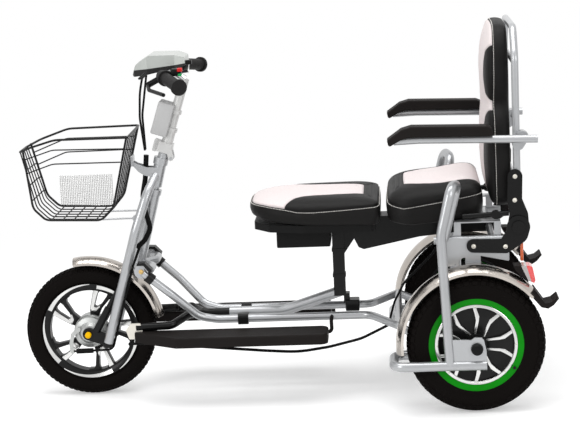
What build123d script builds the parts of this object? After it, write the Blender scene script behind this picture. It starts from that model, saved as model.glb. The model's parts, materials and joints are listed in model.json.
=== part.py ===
# Electric tricycle: one steered front wheel, two hub-motor rear wheels, folding steering column,
# wire basket, two footboards, long seat, reclining backrest and lift-up armrests.
# X forward, Y left, Z up, millimetres, wheels on the ground at Z = 0.
# Shapes are drawn with the rear axle at X = 0 and moved by ROW_SHIFT when they are written.
import os
from math import atan2, cos, degrees, hypot, radians, sin, tan
from build123d import *

# --- wheels and ground line ---------------------------------------------------
WHEELBASE = 1048.0
TYRE_R = 181.0
FRONT_TYRE_W = 54.0
REAR_TYRE_W = 72.0
FRONT_RIM_R = 134.0
REAR_RIM_R = 131.0
RIM_WALL = 4.0
RIM_LIP = 4.0
TRACK_Y = 261.0
SPOKES = 5
FRONT_HUB_R = 46.0
FRONT_HUB_W = 58.0
FRONT_SPOKE_T = 26.0
REAR_FACE_R = 104.0
REAR_HUB_R = 27.0
REAR_CORE_T = 40.0
AXLE_R = 6.0
REAR_AXLE_R = 8.0
RUN_GAP = 0.05
CRUMB = 700.0
FLAP_REACH = 214.0
ROW_SHIFT = -(WHEELBASE + TYRE_R - FLAP_REACH) / 2

# --- steering axis and fork -----------------------------------------------------
AXIS_X = 905.0
AXIS_Z = 365.0
AXIS_LEAN = 15.1
HEAD_R = 17.0
HEAD_LOW_Z = 353.0
HEAD_TOP_Z = 570.0
HEAD_GAP = 8.0
STEERER_R = 11.0
CROWN_TOP_Z = 638.0
NUT_R = 20.0
NUT_H = 18.0
LEG_R = 12.5
LEG_Y = 75.0
FOOT_X = 992.0
FOOT_Z = 160.0
BEND_X = 899.0
BEND_Z = 470.0
LINK_Y = 54.0
LINK_T = 8.0
SHOCK_R = 9.0
SHOCK_TOP_Z = 330.0
FENDER_GAP = 24.0
FENDER_T = 2.5
FRONT_FENDER_W = 62.0
BRIDGE_Z = 350.0
FENDER_CROWN = 7.0

# --- folding column and handlebar -------------------------------------------------
FOLD_X = 818.0
FOLD_Z = 669.0
FOLD_PIN_DROP = 8.0
FOLD_PIN_BACK = 22.0
FOLD_PIN_R = 4.0
FOLD_EYE_R = 7.0
COLUMN_R = 13.0
COLUMN_TOP_X = 752.0
COLUMN_TOP_Z = 868.0
SOCKET_R = 15.5
BLOCK_W = 40.0
HINGE_GAP = 1.0
STEM_LEAN = atan2(FOLD_X - COLUMN_TOP_X, COLUMN_TOP_Z - FOLD_Z)
BAR_R = 11.0
BAR_MID_X = 786.0
BAR_MID_Z = 884.0
BAR_ROOT_X = 794.0
BAR_ROOT_Y = 150.0
BAR_ROOT_Z = 894.0
BAR_END_X = 736.0
BAR_END_Y = 274.0
BAR_END_Z = 876.0
GRIP_R = 16.0
GRIP_FLANGE_R = 21.0
GRIP_L = 112.0
METER_T = 44.0
METER_W = 66.0
METER_H = 98.0

# --- basket -----------------------------------------------------------------------
WIRE_R = 3.6
THIN_WIRE_R = 2.2
BASKET_TOP_Y = 130.0
BASKET_LOW_Y = 108.0
BASKET_KINK_Y = 150.0

# --- frame tubes ------------------------------------------------------------------
TUBE_R = 11.0
EAR_X = 885.0
EAR_Y = 108.0
EAR_Z = 364.0
EAR_R = 19.0
EAR_T = 8.0
SIDE_Y = 62.0
SIDE_Z = 214.0
SPREAD_X = 275.0
SPREAD_Y = 188.0
CENTRE_R = 15.0
SLIDER_R = 12.0
CENTRE_Z = 218.0
SLIDER_X = 662.0
CLAMP_X = 620.0
CLAMP_L = 28.0
CLAMP_WALL = 4.0

# --- footboards -------------------------------------------------------------------
BOARD_REAR_X = 387.0
BOARD_FRONT_X = 912.0
BOARD_IN_Y = 100.0
BOARD_OUT_Y = 200.0
BOARD_TOP_Z = 198.0
BOARD_T = 27.0

# --- rear frame -------------------------------------------------------------------
AXLE_Z = TYRE_R
RAIL_Z = 443.0
RAIL_Y = 206.0
RAIL_R = 10.0
CROSS_R = 9.0
LOW_CROSS_R = 8.0
CROSS_X = 198.0
BUMPER_Z = 137.0
BUMPER_X = 214.0
GUARD_Y = 325.0
GUARD_R = 12.5
GUARD_TOP_Z = 600.0
PLATE_T = 6.0
DROPOUT_REAR_X = -24.0
REAR_FENDER_Y0 = 228.0
REAR_FENDER_Y1 = 300.0

# --- seat, backrest and armrests ----------------------------------------------------
POST_X = 356.0
POST_W = 32.0
SEAT_Z = 482.0
SEAT_H = 72.0
FRONT_SEAT_Y = 165.0
REAR_SEAT_Y = 190.0
SEAT_NOSE_X = 589.0
SEAT_SPLIT_X = 230.0
SEAT_GAP = 18.0
REAR_SEAT_X = -33.0
REAR_SEAT_Z = 494.0
REAR_SEAT_H = 92.0
BACK_GAP = 3.0
BACK_T = 70.0
BACK_LOW_Z = 521.0
BACK_TOP_Z = 996.0
BACK_WAIST_Z = 791.0
BACK_LOW_Y = 188.0
BACK_HIGH_Y = 165.0
HOOP_R = 9.5
HOOP_X = -119.0
HOOP_Y = 200.0
HOOP_TOP_Z = 985.0
PIVOT_X = -119.0
PIVOT_Z = 475.0
RECLINER_T = 5.0
LOWER_RECLINER_Y = 220.0
RECLINER_GAP = 1.5
ARM_Y = 262.0
ARM_R = 10.0
ARM_PIVOT_X = -136.0
ARM_PIVOT_Z = 709.0
ARM_BOLT_R = 6.0
PAD_W = 48.0

# --- cables -------------------------------------------------------------------------
CABLE_R = 3.0
LOOM_R = 7.0
BOOT_R = 7.0

parts = {}


# --- helpers ------------------------------------------------------------------------
def axis_x(z):
    """X of the steering axis at height z."""
    return AXIS_X - (z - AXIS_Z) * tan(radians(AXIS_LEAN))


def tube(points, radius, bend=0.0, closed=False):
    """Round bar along a polyline, with its corners bent to arcs."""
    if bend:
        path = FilletPolyline(*points, radius=bend, close=closed)
    elif len(points) > 2:
        path = Polyline(*points)
    else:
        path = Line(*points)
    start = Plane(origin=path @ 0, z_dir=path % 0)
    return sweep(start * Circle(radius), path=path)


def up_stem(d, side=0.0):
    """Point d up the folding column from its hinge face, side millimetres in front of it."""
    return (FOLD_X - d * sin(STEM_LEAN) + side * cos(STEM_LEAN), 0, FOLD_Z + d * cos(STEM_LEAN) + side * sin(STEM_LEAN))


def on_axis(z0, z1, radius):
    """Round bar on the steering axis between two heights."""
    return tube([(axis_x(z0), 0, z0), (axis_x(z1), 0, z1)], radius)


def disc(x, y, z, radius, thickness):
    """Short cylinder along Y, centred on y."""
    return Pos(x, y, z) * Rot(90, 0, 0) * Cylinder(radius, thickness)


def cross_bar(x, y0, y1, z, radius):
    """Round bar along Y."""
    return disc(x, (y0 + y1) / 2, z, radius, abs(y1 - y0))


def block(x0, x1, y0, y1, z0, z1, edge=0.0):
    """Box between two corners, with rounded edges."""
    body = Pos((x0 + x1) / 2, (y0 + y1) / 2, (z0 + z1) / 2) * Box(abs(x1 - x0), abs(y1 - y0), abs(z1 - z0))
    return fillet(body.edges(), edge) if edge else body


def side_plate(outline, y, thickness, corner=0.0):
    """Flat plate seen from the side: outline of (x, z) with rounded corners, centred on y."""
    face = make_face(Polyline(*[(x, z) for x, z in outline], close=True))
    if corner:
        face = fillet(face.vertices(), corner)
    body = extrude(Plane.XZ * face, amount=thickness / 2, both=True)
    return Pos(0, y, 0) * body


def link_plate(ends, y, thickness):
    """Plate that wraps a chain of round eyes (x, z, radius)."""
    body = None
    for (xa, za, ra), (xb, zb, rb) in zip(ends, ends[1:]):
        d = hypot(xb - xa, zb - za)
        side = (ra - rb) / d
        lean = (1 - side * side) ** 0.5
        ux, uz = (xb - xa) / d, (zb - za) / d
        corners = []
        for x, z, r, s in ((xa, za, ra, 1), (xb, zb, rb, 1), (xb, zb, rb, -1), (xa, za, ra, -1)):
            corners.append((x + r * (side * ux - s * lean * uz), z + r * (side * uz + s * lean * ux)))
        web = side_plate(corners, y, thickness) + disc(xa, y, za, ra, thickness) + disc(xb, y, zb, rb, thickness)
        body = web if body is None else body + web
    return body


def spin(x, y, z, outline, arc=360.0, start=0.0):
    """Revolve a closed (radius, y) outline about a wheel axis, downwards from start degrees above +X."""
    face = make_face(Polyline(*[(r, w) for r, w in outline], close=True))
    body = revolve(Plane.XY * face, axis=Axis.Y, revolution_arc=arc)
    return Pos(x, y, z) * Rot(0, -start, 0) * body


def pair(name, left):
    """Two nodes, one for each side."""
    parts[name + "_left"] = left
    parts[name + "_right"] = mirror(left, about=Plane.XZ)


def twin(name, left):
    """One node that holds both sides."""
    parts[name] = Compound(children=[left, mirror(left, about=Plane.XZ)])


def cut(name, *others):
    """Cut a node to fit its neighbours, and drop the crumbs that a cut leaves."""
    shape = parts[name]
    for other in others:
        shape = shape - parts[other]
    kept = [s for s in shape.solids() if s.volume > CRUMB]
    parts[name] = kept[0] if len(kept) == 1 else Compound(children=kept)


# --- wheels -----------------------------------------------------------------------------
def tyre(x, y, rim_r, width):
    """Tyre section: beads on the rim, round shoulders, flatter crown."""
    h = TYRE_R - rim_r
    w = width / 2
    half = [(rim_r - RIM_LIP, 0.62 * w), (rim_r + 0.18 * h, 0.9 * w), (rim_r + 0.45 * h, w), (rim_r + 0.72 * h, 0.93 * w),
            (rim_r + 0.9 * h, 0.7 * w), (TYRE_R, 0.3 * w)]
    outline = half + [(r, -s) for r, s in reversed(half)]
    return spin(x, y, TYRE_R, outline)


def rim_ring(x, y, radius, width):
    """Rim channel: two lips, bead seats and a drop centre."""
    w = width / 2
    well = radius - 4 * RIM_LIP
    half = [(radius, w), (radius, w - RIM_WALL), (radius - RIM_LIP, w - RIM_WALL), (radius - 2 * RIM_LIP, 0.55 * w),
            (well, 0.4 * w)]
    inner = [(well - RIM_WALL, 0.45 * w), (well, 0.8 * w), (radius - RIM_LIP, w)]
    outline = half + [(r, -s) for r, s in reversed(half)] + [(r, -s) for r, s in reversed(inner)] + inner
    return spin(x, y, TYRE_R, outline)


def front_wheel():
    rim_w = 0.82 * FRONT_TYRE_W
    parts["front_tyre"] = tyre(WHEELBASE, 0, FRONT_RIM_R, FRONT_TYRE_W)
    rim = rim_ring(WHEELBASE, 0, FRONT_RIM_R, rim_w)
    seat_r = FRONT_RIM_R - 4 * RIM_LIP - 1
    core = disc(0, 0, 0, FRONT_HUB_R + 8, FRONT_SPOKE_T) - disc(0, 0, 0, FRONT_HUB_R - 2, 2 * FRONT_SPOKE_T)
    fork_spoke = side_plate([(FRONT_HUB_R, -13), (seat_r, -30), (seat_r + 1, -17), (68, -2), (68, 2), (seat_r + 1, 17),
                             (seat_r, 30), (FRONT_HUB_R, 13)], 0, FRONT_SPOKE_T, 2)
    cast = core
    for i in range(SPOKES):
        cast = cast + Rot(0, -(107 + 360 / SPOKES * i), 0) * fork_spoke
    parts["front_rim"] = rim + Pos(WHEELBASE, 0, TYRE_R) * cast
    w = FRONT_HUB_W / 2
    drum = [(0, -w), (FRONT_HUB_R - 16, -w), (FRONT_HUB_R - 6, -w + 8), (FRONT_HUB_R, -w + 14), (FRONT_HUB_R, w - 8),
            (FRONT_HUB_R - 4, w - 2), (FRONT_HUB_R - 12, w - 2), (0, w - 2)]
    parts["front_hub"] = spin(WHEELBASE, 0, TYRE_R, drum)


def rear_wheels():
    rim_w = 0.8 * REAR_TYRE_W
    w = rim_w / 2
    pair("rear_tyre", tyre(0, TRACK_Y, REAR_RIM_R, REAR_TYRE_W))
    flange = spin(0, TRACK_Y, TYRE_R, [(REAR_FACE_R, w - 9), (REAR_FACE_R + 4, w - 3), (REAR_RIM_R - RIM_LIP, w),
                                       (REAR_RIM_R - 4 * RIM_LIP, 0.6 * w), (REAR_FACE_R, 0.4 * w)])
    pair("rear_rim", rim_ring(0, TRACK_Y, REAR_RIM_R, rim_w) + flange)
    # hub-motor shell with five flared arms standing out of its face
    t = REAR_CORE_T / 2
    shell = spin(0, TRACK_Y, TYRE_R, [(0, -t - 4), (60, -t - 4), (REAR_FACE_R - 6, -t), (REAR_FACE_R, -t + 5),
                                      (REAR_FACE_R, t - 9), (REAR_FACE_R - 8, t - 9), (40, t - 5), (0, t - 5)])
    arm = side_plate([(18, -15), (REAR_FACE_R - 30, -13), (REAR_FACE_R - 5, -31), (REAR_FACE_R - 3, -22),
                      (REAR_FACE_R - 3, 22), (REAR_FACE_R - 5, 31), (REAR_FACE_R - 30, 13), (18, 15)], t - 4, 10, 2)
    face = disc(0, t - 2, 0, REAR_HUB_R, 14)
    for i in range(SPOKES):
        face = face + Rot(0, -(360 / SPOKES * i), 0) * arm
    pair("rear_hub", shell + Pos(0, TRACK_Y, TYRE_R) * face)


# --- fork and what turns with it ------------------------------------------------------------
def leg_x(z):
    """X of the straight part of a fork leg."""
    return FOOT_X + (z - FOOT_Z) * (BEND_X - FOOT_X) / (BEND_Z - FOOT_Z)


def fork():
    top = (axis_x(CROWN_TOP_Z - 22) + 3, 0, CROWN_TOP_Z - 22)
    legs = [tube([(FOOT_X, s * LEG_Y, FOOT_Z), (BEND_X, s * LEG_Y, BEND_Z), (866, s * 54, 564), top], LEG_R, 70)
            for s in (1, -1)]
    crown = on_axis(HEAD_TOP_Z + HEAD_GAP, CROWN_TOP_Z, HEAD_R)
    steerer = on_axis(HEAD_LOW_Z + 6, HEAD_TOP_Z + HEAD_GAP + 4, STEERER_R)
    nut = on_axis(CROWN_TOP_Z, CROWN_TOP_Z + NUT_H, NUT_R)
    neck = tube([up_stem(-20), up_stem(-HINGE_GAP)], SOCKET_R)
    px, _, pz = up_stem(-FOLD_PIN_DROP, -FOLD_PIN_BACK)
    nx, _, nz = up_stem(-FOLD_PIN_DROP - 2, -8)
    knuckle = link_plate([(px, pz, FOLD_EYE_R), (nx, nz, FOLD_EYE_R)], 0, 14)
    pin = cross_bar(px, -22, 22, pz, FOLD_PIN_R)
    parts["fork"] = legs[0] + legs[1] + crown + steerer + nut + neck + knuckle + pin
    link = link_plate([(FOOT_X, FOOT_Z, 15), (WHEELBASE, TYRE_R, 17)], LINK_Y, LINK_T)
    foot = cross_bar(FOOT_X, LINK_Y, LEG_Y, FOOT_Z, 9)
    cap = tube([(FOOT_X + 1, LEG_Y, FOOT_Z - 1), (FOOT_X + 3, LEG_Y, FOOT_Z - 11)], LEG_R + 1)
    top_x = leg_x(SHOCK_TOP_Z) + 3
    low = (WHEELBASE - 22, LINK_Y, TYRE_R + 8)
    mid = (top_x + 0.55 * (low[0] - top_x), LINK_Y, SHOCK_TOP_Z + 0.55 * (low[2] - SHOCK_TOP_Z))
    shock = tube([low, mid], SHOCK_R + 1.5) + tube([mid, (top_x, LINK_Y, SHOCK_TOP_Z)], SHOCK_R - 2)
    lug = cross_bar(top_x, LINK_Y - 6, LEG_Y, SHOCK_TOP_Z, 9)
    twin("fork_links", link + foot + cap + shock + lug)
    parts["front_axle"] = cross_bar(WHEELBASE, -LINK_Y - 14, LINK_Y + 14, AXLE_Z, AXLE_R)
    # brake plate closes the drum on the left and carries the cam lever
    y0 = FRONT_HUB_W / 2
    shield = spin(WHEELBASE, 0, AXLE_Z, [(0, y0), (FRONT_HUB_R - 2, y0), (FRONT_HUB_R - 4, y0 + 7), (30, y0 + 11),
                                         (22, LINK_Y - LINK_T / 2), (0, LINK_Y - LINK_T / 2)])
    cx, cz = WHEELBASE + 30, AXLE_Z + 11
    lever = link_plate([(cx, cz, 7), (cx + 17, cz - 14, 5), (cx + 23, cz - 42, 5), (cx + 20, cz - 62, 6)], y0 + 14, 4)
    cam = cross_bar(cx, y0 + 4, y0 + 18, cz, 6)
    parts["brake_plate"] = shield + lever + cam


def arc_band(x, y, z, radius, width, start, end):
    """Bent fender strip with a domed section and rolled edges."""
    w = width / 2
    top = [(radius + FENDER_T, -w), (radius + FENDER_T, -w + 4), (radius + FENDER_T + FENDER_CROWN, -0.35 * w),
           (radius + FENDER_T + FENDER_CROWN, 0.35 * w), (radius + FENDER_T, w - 4), (radius + FENDER_T, w)]
    low = [(r - FENDER_T, s) for r, s in reversed(top)]
    return spin(x, y, z, top + low, end - start, end)


def front_fender():
    r = TYRE_R + FENDER_GAP - FENDER_CROWN
    band = arc_band(WHEELBASE, 0, TYRE_R, r, FRONT_FENDER_W, 79, 170)
    # bridge between the fork legs, welded under the crown of the fender
    bridge = cross_bar(leg_x(BRIDGE_Z) + 1, 4 - LEG_Y, LEG_Y - 4, BRIDGE_Z, 5)
    parts["front_fender"] = band + bridge


def basket():
    t, k, w = BASKET_TOP_Y, BASKET_KINK_Y, BASKET_LOW_Y
    half = [(900, t, 728), (1089, k, 732), (1190, t - 8, 702), (1226, 84, 684)]
    rim = tube(half + [(x, -y, z) for x, y, z in reversed(half)], WIRE_R, 16, closed=True)
    wires = []
    for s in (1, -1):
        wires.append(tube([(1186, s * (t - 8), 698), (1152, s * w, 545), (1122, s * w, 512), (985, s * w, 507),
                           (950, s * w, 540), (902, s * t, 724)], WIRE_R, 20))
        wires.append(tube([(908, s * (t - 3), 700), (1104, s * (k - 4), 702), (1181, s * (t - 10), 672)], THIN_WIRE_R + 0.8, 24))
        wires.append(tube([(918, s * (t - 8), 664), (1106, s * (k - 12), 664), (1173, s * (t - 14), 636)], THIN_WIRE_R + 0.8, 24))
    for z, x in ((640, 1212), (600, 1200), (560, 1186)):
        f = 84 if z > 620 else 80
        wires.append(tube([(x - 38, t - 14, z + 12), (x, f, z), (x, -f, z), (x - 38, 14 - t, z + 12)], THIN_WIRE_R, 16))
    for x in (1000, 1030, 1060, 1090, 1120):
        wires.append(cross_bar(x, -w, w, 507 if x < 1115 else 511, THIN_WIRE_R))
    for y in (-72, -36, 0, 36, 72):
        wires.append(tube([(1222, y * 1.1, 684), (1160, y, 534), (1120, y, 503), (985, y, 503), (948, y, 540),
                           (902, y * 1.1, 726)], THIN_WIRE_R, 22))
    parts["basket"] = rim + wires
    # arm from the crown to the basket's back, and two stays lower down
    x0 = axis_x(612)
    arms = [side_plate([(x0, 602), (x0 - 3, 630), (864, 632), (893, 641), (908, 650), (910, 644), (890, 621), (874, 610)],
                       s * 15, 4, 1.5) for s in (1, -1)]
    hook = block(903, 909, -20, 20, 636, 664, 2)
    stays = [tube([(leg_x(500) - 4, s * 58, 502), (912, s * 56, 501), (990, s * 60, 501)], 2.5, 6) for s in (1, -1)]
    bosses = [disc(leg_x(498) + 8, s * 60, 502, 8, 14) for s in (1, -1)]
    parts["basket_bracket"] = arms[0] + arms[1] + hook + stays + bosses


# --- folding column ---------------------------------------------------------------------------
def stem():
    length = hypot(FOLD_X - COLUMN_TOP_X, COLUMN_TOP_Z - FOLD_Z)
    post = tube([up_stem(2), up_stem(length)], COLUMN_R)
    lower = tube([up_stem(1), up_stem(70)], SOCKET_R)
    rings = tube([up_stem(62), up_stem(72)], SOCKET_R + 3) + tube([up_stem(112), up_stem(122)], COLUMN_R + 4)
    tilt = Rot(0, -degrees(STEM_LEAN), 0)
    block_body = Pos(*up_stem(15, 2)) * tilt * fillet(Box(42, BLOCK_W, 28).edges().filter_by(Axis.Z), 5)
    catch = Pos(*up_stem(14, 28)) * tilt * fillet(Box(12, 18, 34).edges().filter_by(Axis.Y), 4)
    px, _, pz = up_stem(-FOLD_PIN_DROP, -FOLD_PIN_BACK)
    bx, _, bz = up_stem(8, -14)
    cheeks = [link_plate([(px, pz, FOLD_EYE_R), (bx, bz, FOLD_EYE_R)], s * 16, 8) for s in (1, -1)]
    pin_hole = cross_bar(px, -30, 30, pz, FOLD_PIN_R + RUN_GAP)
    parts["stem"] = (post + lower + rings + block_body + catch + cheeks) - pin_hole
    root = (BAR_ROOT_X, BAR_ROOT_Y, BAR_ROOT_Z)
    end = (BAR_END_X, BAR_END_Y, BAR_END_Z)
    flip = [(x, -y, z) for x, y, z in (end, root)]
    bar = tube([end, root, (BAR_MID_X, 44, BAR_MID_Z), (BAR_MID_X, -44, BAR_MID_Z), flip[1], flip[0]], BAR_R, 36)
    clamp = tube([up_stem(length - 6), (BAR_MID_X, 0, BAR_MID_Z)], COLUMN_R + 2)
    parts["handlebar"] = bar + clamp + cross_bar(BAR_MID_X, -22, 22, BAR_MID_Z, BAR_R + 5)
    span = hypot(end[0] - root[0], end[1] - root[1], end[2] - root[2])
    u = [(e - r) / span for e, r in zip(end, root)]
    inner = tuple(e - GRIP_L * k for e, k in zip(end, u))
    over = tuple(e + 3 * k for e, k in zip(end, u))
    rim = tuple(e - 5 * k for e, k in zip(end, u))
    collar = tuple(a + 7 * k for a, k in zip(inner, u))
    grip = tube([inner, over], GRIP_R) + tube([rim, over], GRIP_FLANGE_R) + tube([inner, collar], GRIP_FLANGE_R)
    twin("grips", grip)
    perch = tuple(a - 16 * k for a, k in zip(inner, u))
    mount = tube([tuple(a - 9 * k for a, k in zip(perch, u)), tuple(a + 9 * k for a, k in zip(perch, u))], BAR_R + 5)
    nose = (perch[0] + 42, perch[1] - 10, perch[2] - 22)
    blade = tube([nose, (nose[0] - 8, nose[1] + 44, nose[2] - 8), (nose[0] - 56, nose[1] + 128, nose[2] - 12)], 5, 24)
    twin("brake_levers", mount + tube([perch, nose], 8) + blade)
    dash_outline = [(888, 882), (876, 914), (864, 924), (838, 939), (770, 938), (744, 930), (742, 908), (780, 900),
                    (820, 893), (856, 886)]
    shell = side_plate(dash_outline, 0, 132, 5)
    plan = make_face(Polyline((892, -26), (880, -50), (845, -64), (770, -60), (740, -44), (740, 44), (770, 60), (845, 64),
                              (880, 50), (892, 26), close=True))
    parts["dash"] = shell & (Pos(0, 0, 860) * extrude(fillet(plan.vertices(), 8), amount=100))
    lens = side_plate([(886, 883), (875, 911), (862, 905), (862, 888)], 0, 70, 2)
    parts["headlight"] = lens
    parts["dash"] = parts["dash"] - lens
    centre = up_stem(0.60 * length, COLUMN_R + METER_T / 2 + 2)
    parts["meter_box"] = Pos(*centre) * tilt * fillet(Box(METER_T, METER_W, METER_H).edges(), 4)


# --- frame --------------------------------------------------------------------------------------
def frame():
    head = on_axis(HEAD_LOW_Z, HEAD_TOP_Z, HEAD_R) + on_axis(HEAD_TOP_Z - 14, HEAD_TOP_Z, HEAD_R + 2.5)
    head = head + on_axis(HEAD_LOW_Z, HEAD_LOW_Z + 14, HEAD_R + 2.5)
    bore = on_axis(HEAD_LOW_Z - 10, HEAD_TOP_Z + 10, STEERER_R + 1)
    back_x = EAR_X - 22
    yoke = tube([(EAR_X - 3, EAR_Y, EAR_Z), (back_x, EAR_Y - 22, EAR_Z), (back_x, 40, EAR_Z),
                 (axis_x(EAR_Z) - 12, 0, EAR_Z), (back_x, -40, EAR_Z), (back_x, 22 - EAR_Y, EAR_Z),
                 (EAR_X - 3, -EAR_Y, EAR_Z)], TUBE_R, 14)
    ears = [disc(EAR_X, s * EAR_Y, EAR_Z, EAR_R, EAR_T) for s in (1, -1)]
    parts["head_tube"] = (head + yoke + ears) - bore
    side = tube([(EAR_X - 4, EAR_Y, EAR_Z - 4), (808, 98, 296), (738, 74, 226), (690, SIDE_Y, SIDE_Z),
                 (SPREAD_X, SIDE_Y, SIDE_Z), (CROSS_X, SPREAD_Y, SIDE_Z - 1), (150, RAIL_Y, AXLE_Z + 6),
                 (40, RAIL_Y, AXLE_Z)], TUBE_R, [60, 60, 60, 40, 30, 40])
    pair("side_tube", side)
    d = hypot(77, 10, 68)
    step = (-77 / d, -10 / d, -68 / d)
    cap = tube([(EAR_X - 4 + 14 * step[0], EAR_Y + 14 * step[1], EAR_Z - 4 + 14 * step[2]),
                (EAR_X - 4 + 34 * step[0], EAR_Y + 34 * step[1], EAR_Z - 4 + 34 * step[2])], TUBE_R + 4)
    hood = side_plate([(EAR_X - 26, EAR_Z - 8), (EAR_X - 30, EAR_Z + 6), (EAR_X - 12, EAR_Z + 25), (EAR_X + 8, EAR_Z + 26),
                       (EAR_X + 10, EAR_Z + 18), (EAR_X - 8, EAR_Z + 18), (EAR_X - 20, EAR_Z + 2)], EAR_Y, 26, 1.5)
    hinge_cap = cap + hood
    top_z = CENTRE_Z + 50
    parts["centre_tube"] = tube([(SLIDER_X, 0, CENTRE_Z), (512, 0, CENTRE_Z), (POST_X, 0, top_z)], CENTRE_R, 90)
    slider = tube([(765, 0, CENTRE_Z + 6), (720, 0, CENTRE_Z), (SLIDER_X - 30, 0, CENTRE_Z)], SLIDER_R, 60)
    arms = [tube([(736, 0, CENTRE_Z + 2), (772, s * 50, CENTRE_Z + 8), (812, s * 104, BOARD_TOP_Z + TUBE_R + 2),
                  (BOARD_FRONT_X - 4, s * 106, BOARD_TOP_Z + TUBE_R)], TUBE_R, 26) for s in (1, -1)]
    feet = [side_plate([(BOARD_FRONT_X - 22, BOARD_TOP_Z + 2), (BOARD_FRONT_X - 16, BOARD_TOP_Z + 24),
                        (BOARD_FRONT_X + 10, BOARD_TOP_Z + 24), (BOARD_FRONT_X + 24, BOARD_TOP_Z + 6),
                        (BOARD_FRONT_X + 16, BOARD_TOP_Z - 20), (BOARD_FRONT_X + 2, BOARD_TOP_Z - 20)],
                       s * 112, 5, 3) for s in (1, -1)]
    parts["front_support"] = slider + arms
    parts["board_brackets"] = Compound(children=feet)
    sleeve = block(CLAMP_X - CLAMP_L / 2, CLAMP_X + CLAMP_L / 2, SIDE_Y - TUBE_R - CLAMP_WALL,
                   SIDE_Y + TUBE_R + CLAMP_WALL, SIDE_Z - TUBE_R - CLAMP_WALL, SIDE_Z + TUBE_R + CLAMP_WALL)
    wall = 2 * (TUBE_R + CLAMP_WALL)
    sleeve = fillet(sleeve.edges().filter_by(Axis.X), 0.3 * wall)
    web = block(CLAMP_X - 8, CLAMP_X + 8, CENTRE_R - 2, SIDE_Y - TUBE_R, SIDE_Z - 3, SIDE_Z + 3)
    twin("tube_clamps", Compound(children=[sleeve + web, hinge_cap]))


def boards():
    plan = make_face(Polyline((BOARD_REAR_X, BOARD_IN_Y), (BOARD_FRONT_X, BOARD_IN_Y), (BOARD_FRONT_X, BOARD_IN_Y + 24),
                              (BOARD_FRONT_X - 120, BOARD_OUT_Y), (BOARD_REAR_X, BOARD_OUT_Y), close=True))
    near = plan.vertices().sort_by(Axis.X)
    plan = fillet(near[:2], 22)
    plan = fillet(plan.vertices().sort_by(Axis.X)[-3:], 10)
    board = Pos(0, 0, BOARD_TOP_Z - BOARD_T) * extrude(plan, amount=BOARD_T)
    board = fillet(board.edges().group_by(Axis.Z)[-1], 4)
    # strap from the frame down to the back of each board
    hanger = tube([(POST_X + 22, SIDE_Y, SIDE_Z + 4), (POST_X + 24, BOARD_IN_Y - 10, SIDE_Z - 6),
                   (BOARD_REAR_X - 8, BOARD_IN_Y - 4, BOARD_TOP_Z - 18), (BOARD_REAR_X + 14, BOARD_IN_Y + 8, BOARD_TOP_Z - 18)],
                  5, 10)
    pair("footboard", board + hanger)


def rear_frame():
    rails = [tube([(100, s * RAIL_Y, RAIL_Z), (-98, s * RAIL_Y, RAIL_Z)], RAIL_R) for s in (1, -1)]
    bars = [cross_bar(x, -RAIL_Y, RAIL_Y, RAIL_Z, CROSS_R) for x in (70, -52)]
    posts = [tube([(40, s * RAIL_Y, BUMPER_Z + 6), (40, s * RAIL_Y, RAIL_Z)], CROSS_R) for s in (1, -1)]
    cross = cross_bar(CROSS_X, -SPREAD_Y, SPREAD_Y, SIDE_Z, CROSS_R + 1)
    low = cross_bar(40, -RAIL_Y, RAIL_Y, BUMPER_Z + 44, LOW_CROSS_R)
    # shaped webs between the rails and the fenders, tabs that carry the fenders, lugs that carry the seat
    web = side_plate([(76, RAIL_Z - 2), (76, RAIL_Z - 70), (52, RAIL_Z - 66), (26, RAIL_Z - 46), (-20, RAIL_Z - 42),
                      (-94, RAIL_Z - 58), (-94, RAIL_Z - 2)], RAIL_Y + 8, 4, 3)
    tab = block(-20, 20, RAIL_Y + 6, REAR_FENDER_Y0 + 5, AXLE_Z + 201, AXLE_Z + 206)
    tab = tab + block(-20, 20, RAIL_Y + 6, RAIL_Y + 10, AXLE_Z + 201, RAIL_Z - 30)
    for x in (38, -66):
        web = web + side_plate([(x - 9, RAIL_Z + RAIL_R - 3), (x + 9, RAIL_Z + RAIL_R - 3), (x + 9, REAR_SEAT_Z - 6),
                                (x - 9, REAR_SEAT_Z - 6)], RAIL_Y - 6, 6, 3)
    web = web + tab + block(-74, 46, RAIL_Y - 40, RAIL_Y - 3, REAR_SEAT_Z - 8, REAR_SEAT_Z - 5)
    parts["rear_frame"] = rails[0] + rails[1] + bars + posts + low + web + mirror(web, about=Plane.XZ)
    parts["cross_tube"] = cross
    loop = tube([(DROPOUT_REAR_X, GUARD_Y, BUMPER_Z), (BUMPER_X, GUARD_Y, BUMPER_Z), (BUMPER_X, RAIL_Y, BUMPER_Z),
                 (DROPOUT_REAR_X, RAIL_Y, BUMPER_Z)], GUARD_R, 30)
    hoop = tube([(70, GUARD_Y, BUMPER_Z), (84, GUARD_Y - 20, 478), (54, GUARD_Y - 34, GUARD_TOP_Z),
                 (36, RAIL_Y + 14, GUARD_TOP_Z - 8), (74, RAIL_Y + 2, RAIL_Z)], GUARD_R, [120, 30, 30])
    pair("guard", loop + hoop)
    outer = side_plate([(64, 146), (64, 207), (14, 205), (6, 211), (-12, 211), (-18, 204), (DROPOUT_REAR_X, 176),
                        (DROPOUT_REAR_X, 146)], GUARD_Y, PLATE_T, 2)
    inner = side_plate([(34, 140), (34, 206), (8, 212), (-14, 208), (DROPOUT_REAR_X, 180), (DROPOUT_REAR_X, 140)],
                       RAIL_Y, PLATE_T, 2)
    twin("axle_plates", outer + inner)
    cap = spin(0, 0, AXLE_Z, [(0, GUARD_Y + PLATE_T / 2), (16, GUARD_Y + PLATE_T / 2), (15, GUARD_Y + 12),
                              (11, GUARD_Y + 16), (0, GUARD_Y + 17)])
    twin("rear_axles", cross_bar(0, RAIL_Y - 12, GUARD_Y + PLATE_T / 2, AXLE_Z, REAR_AXLE_R) + cap)


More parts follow.
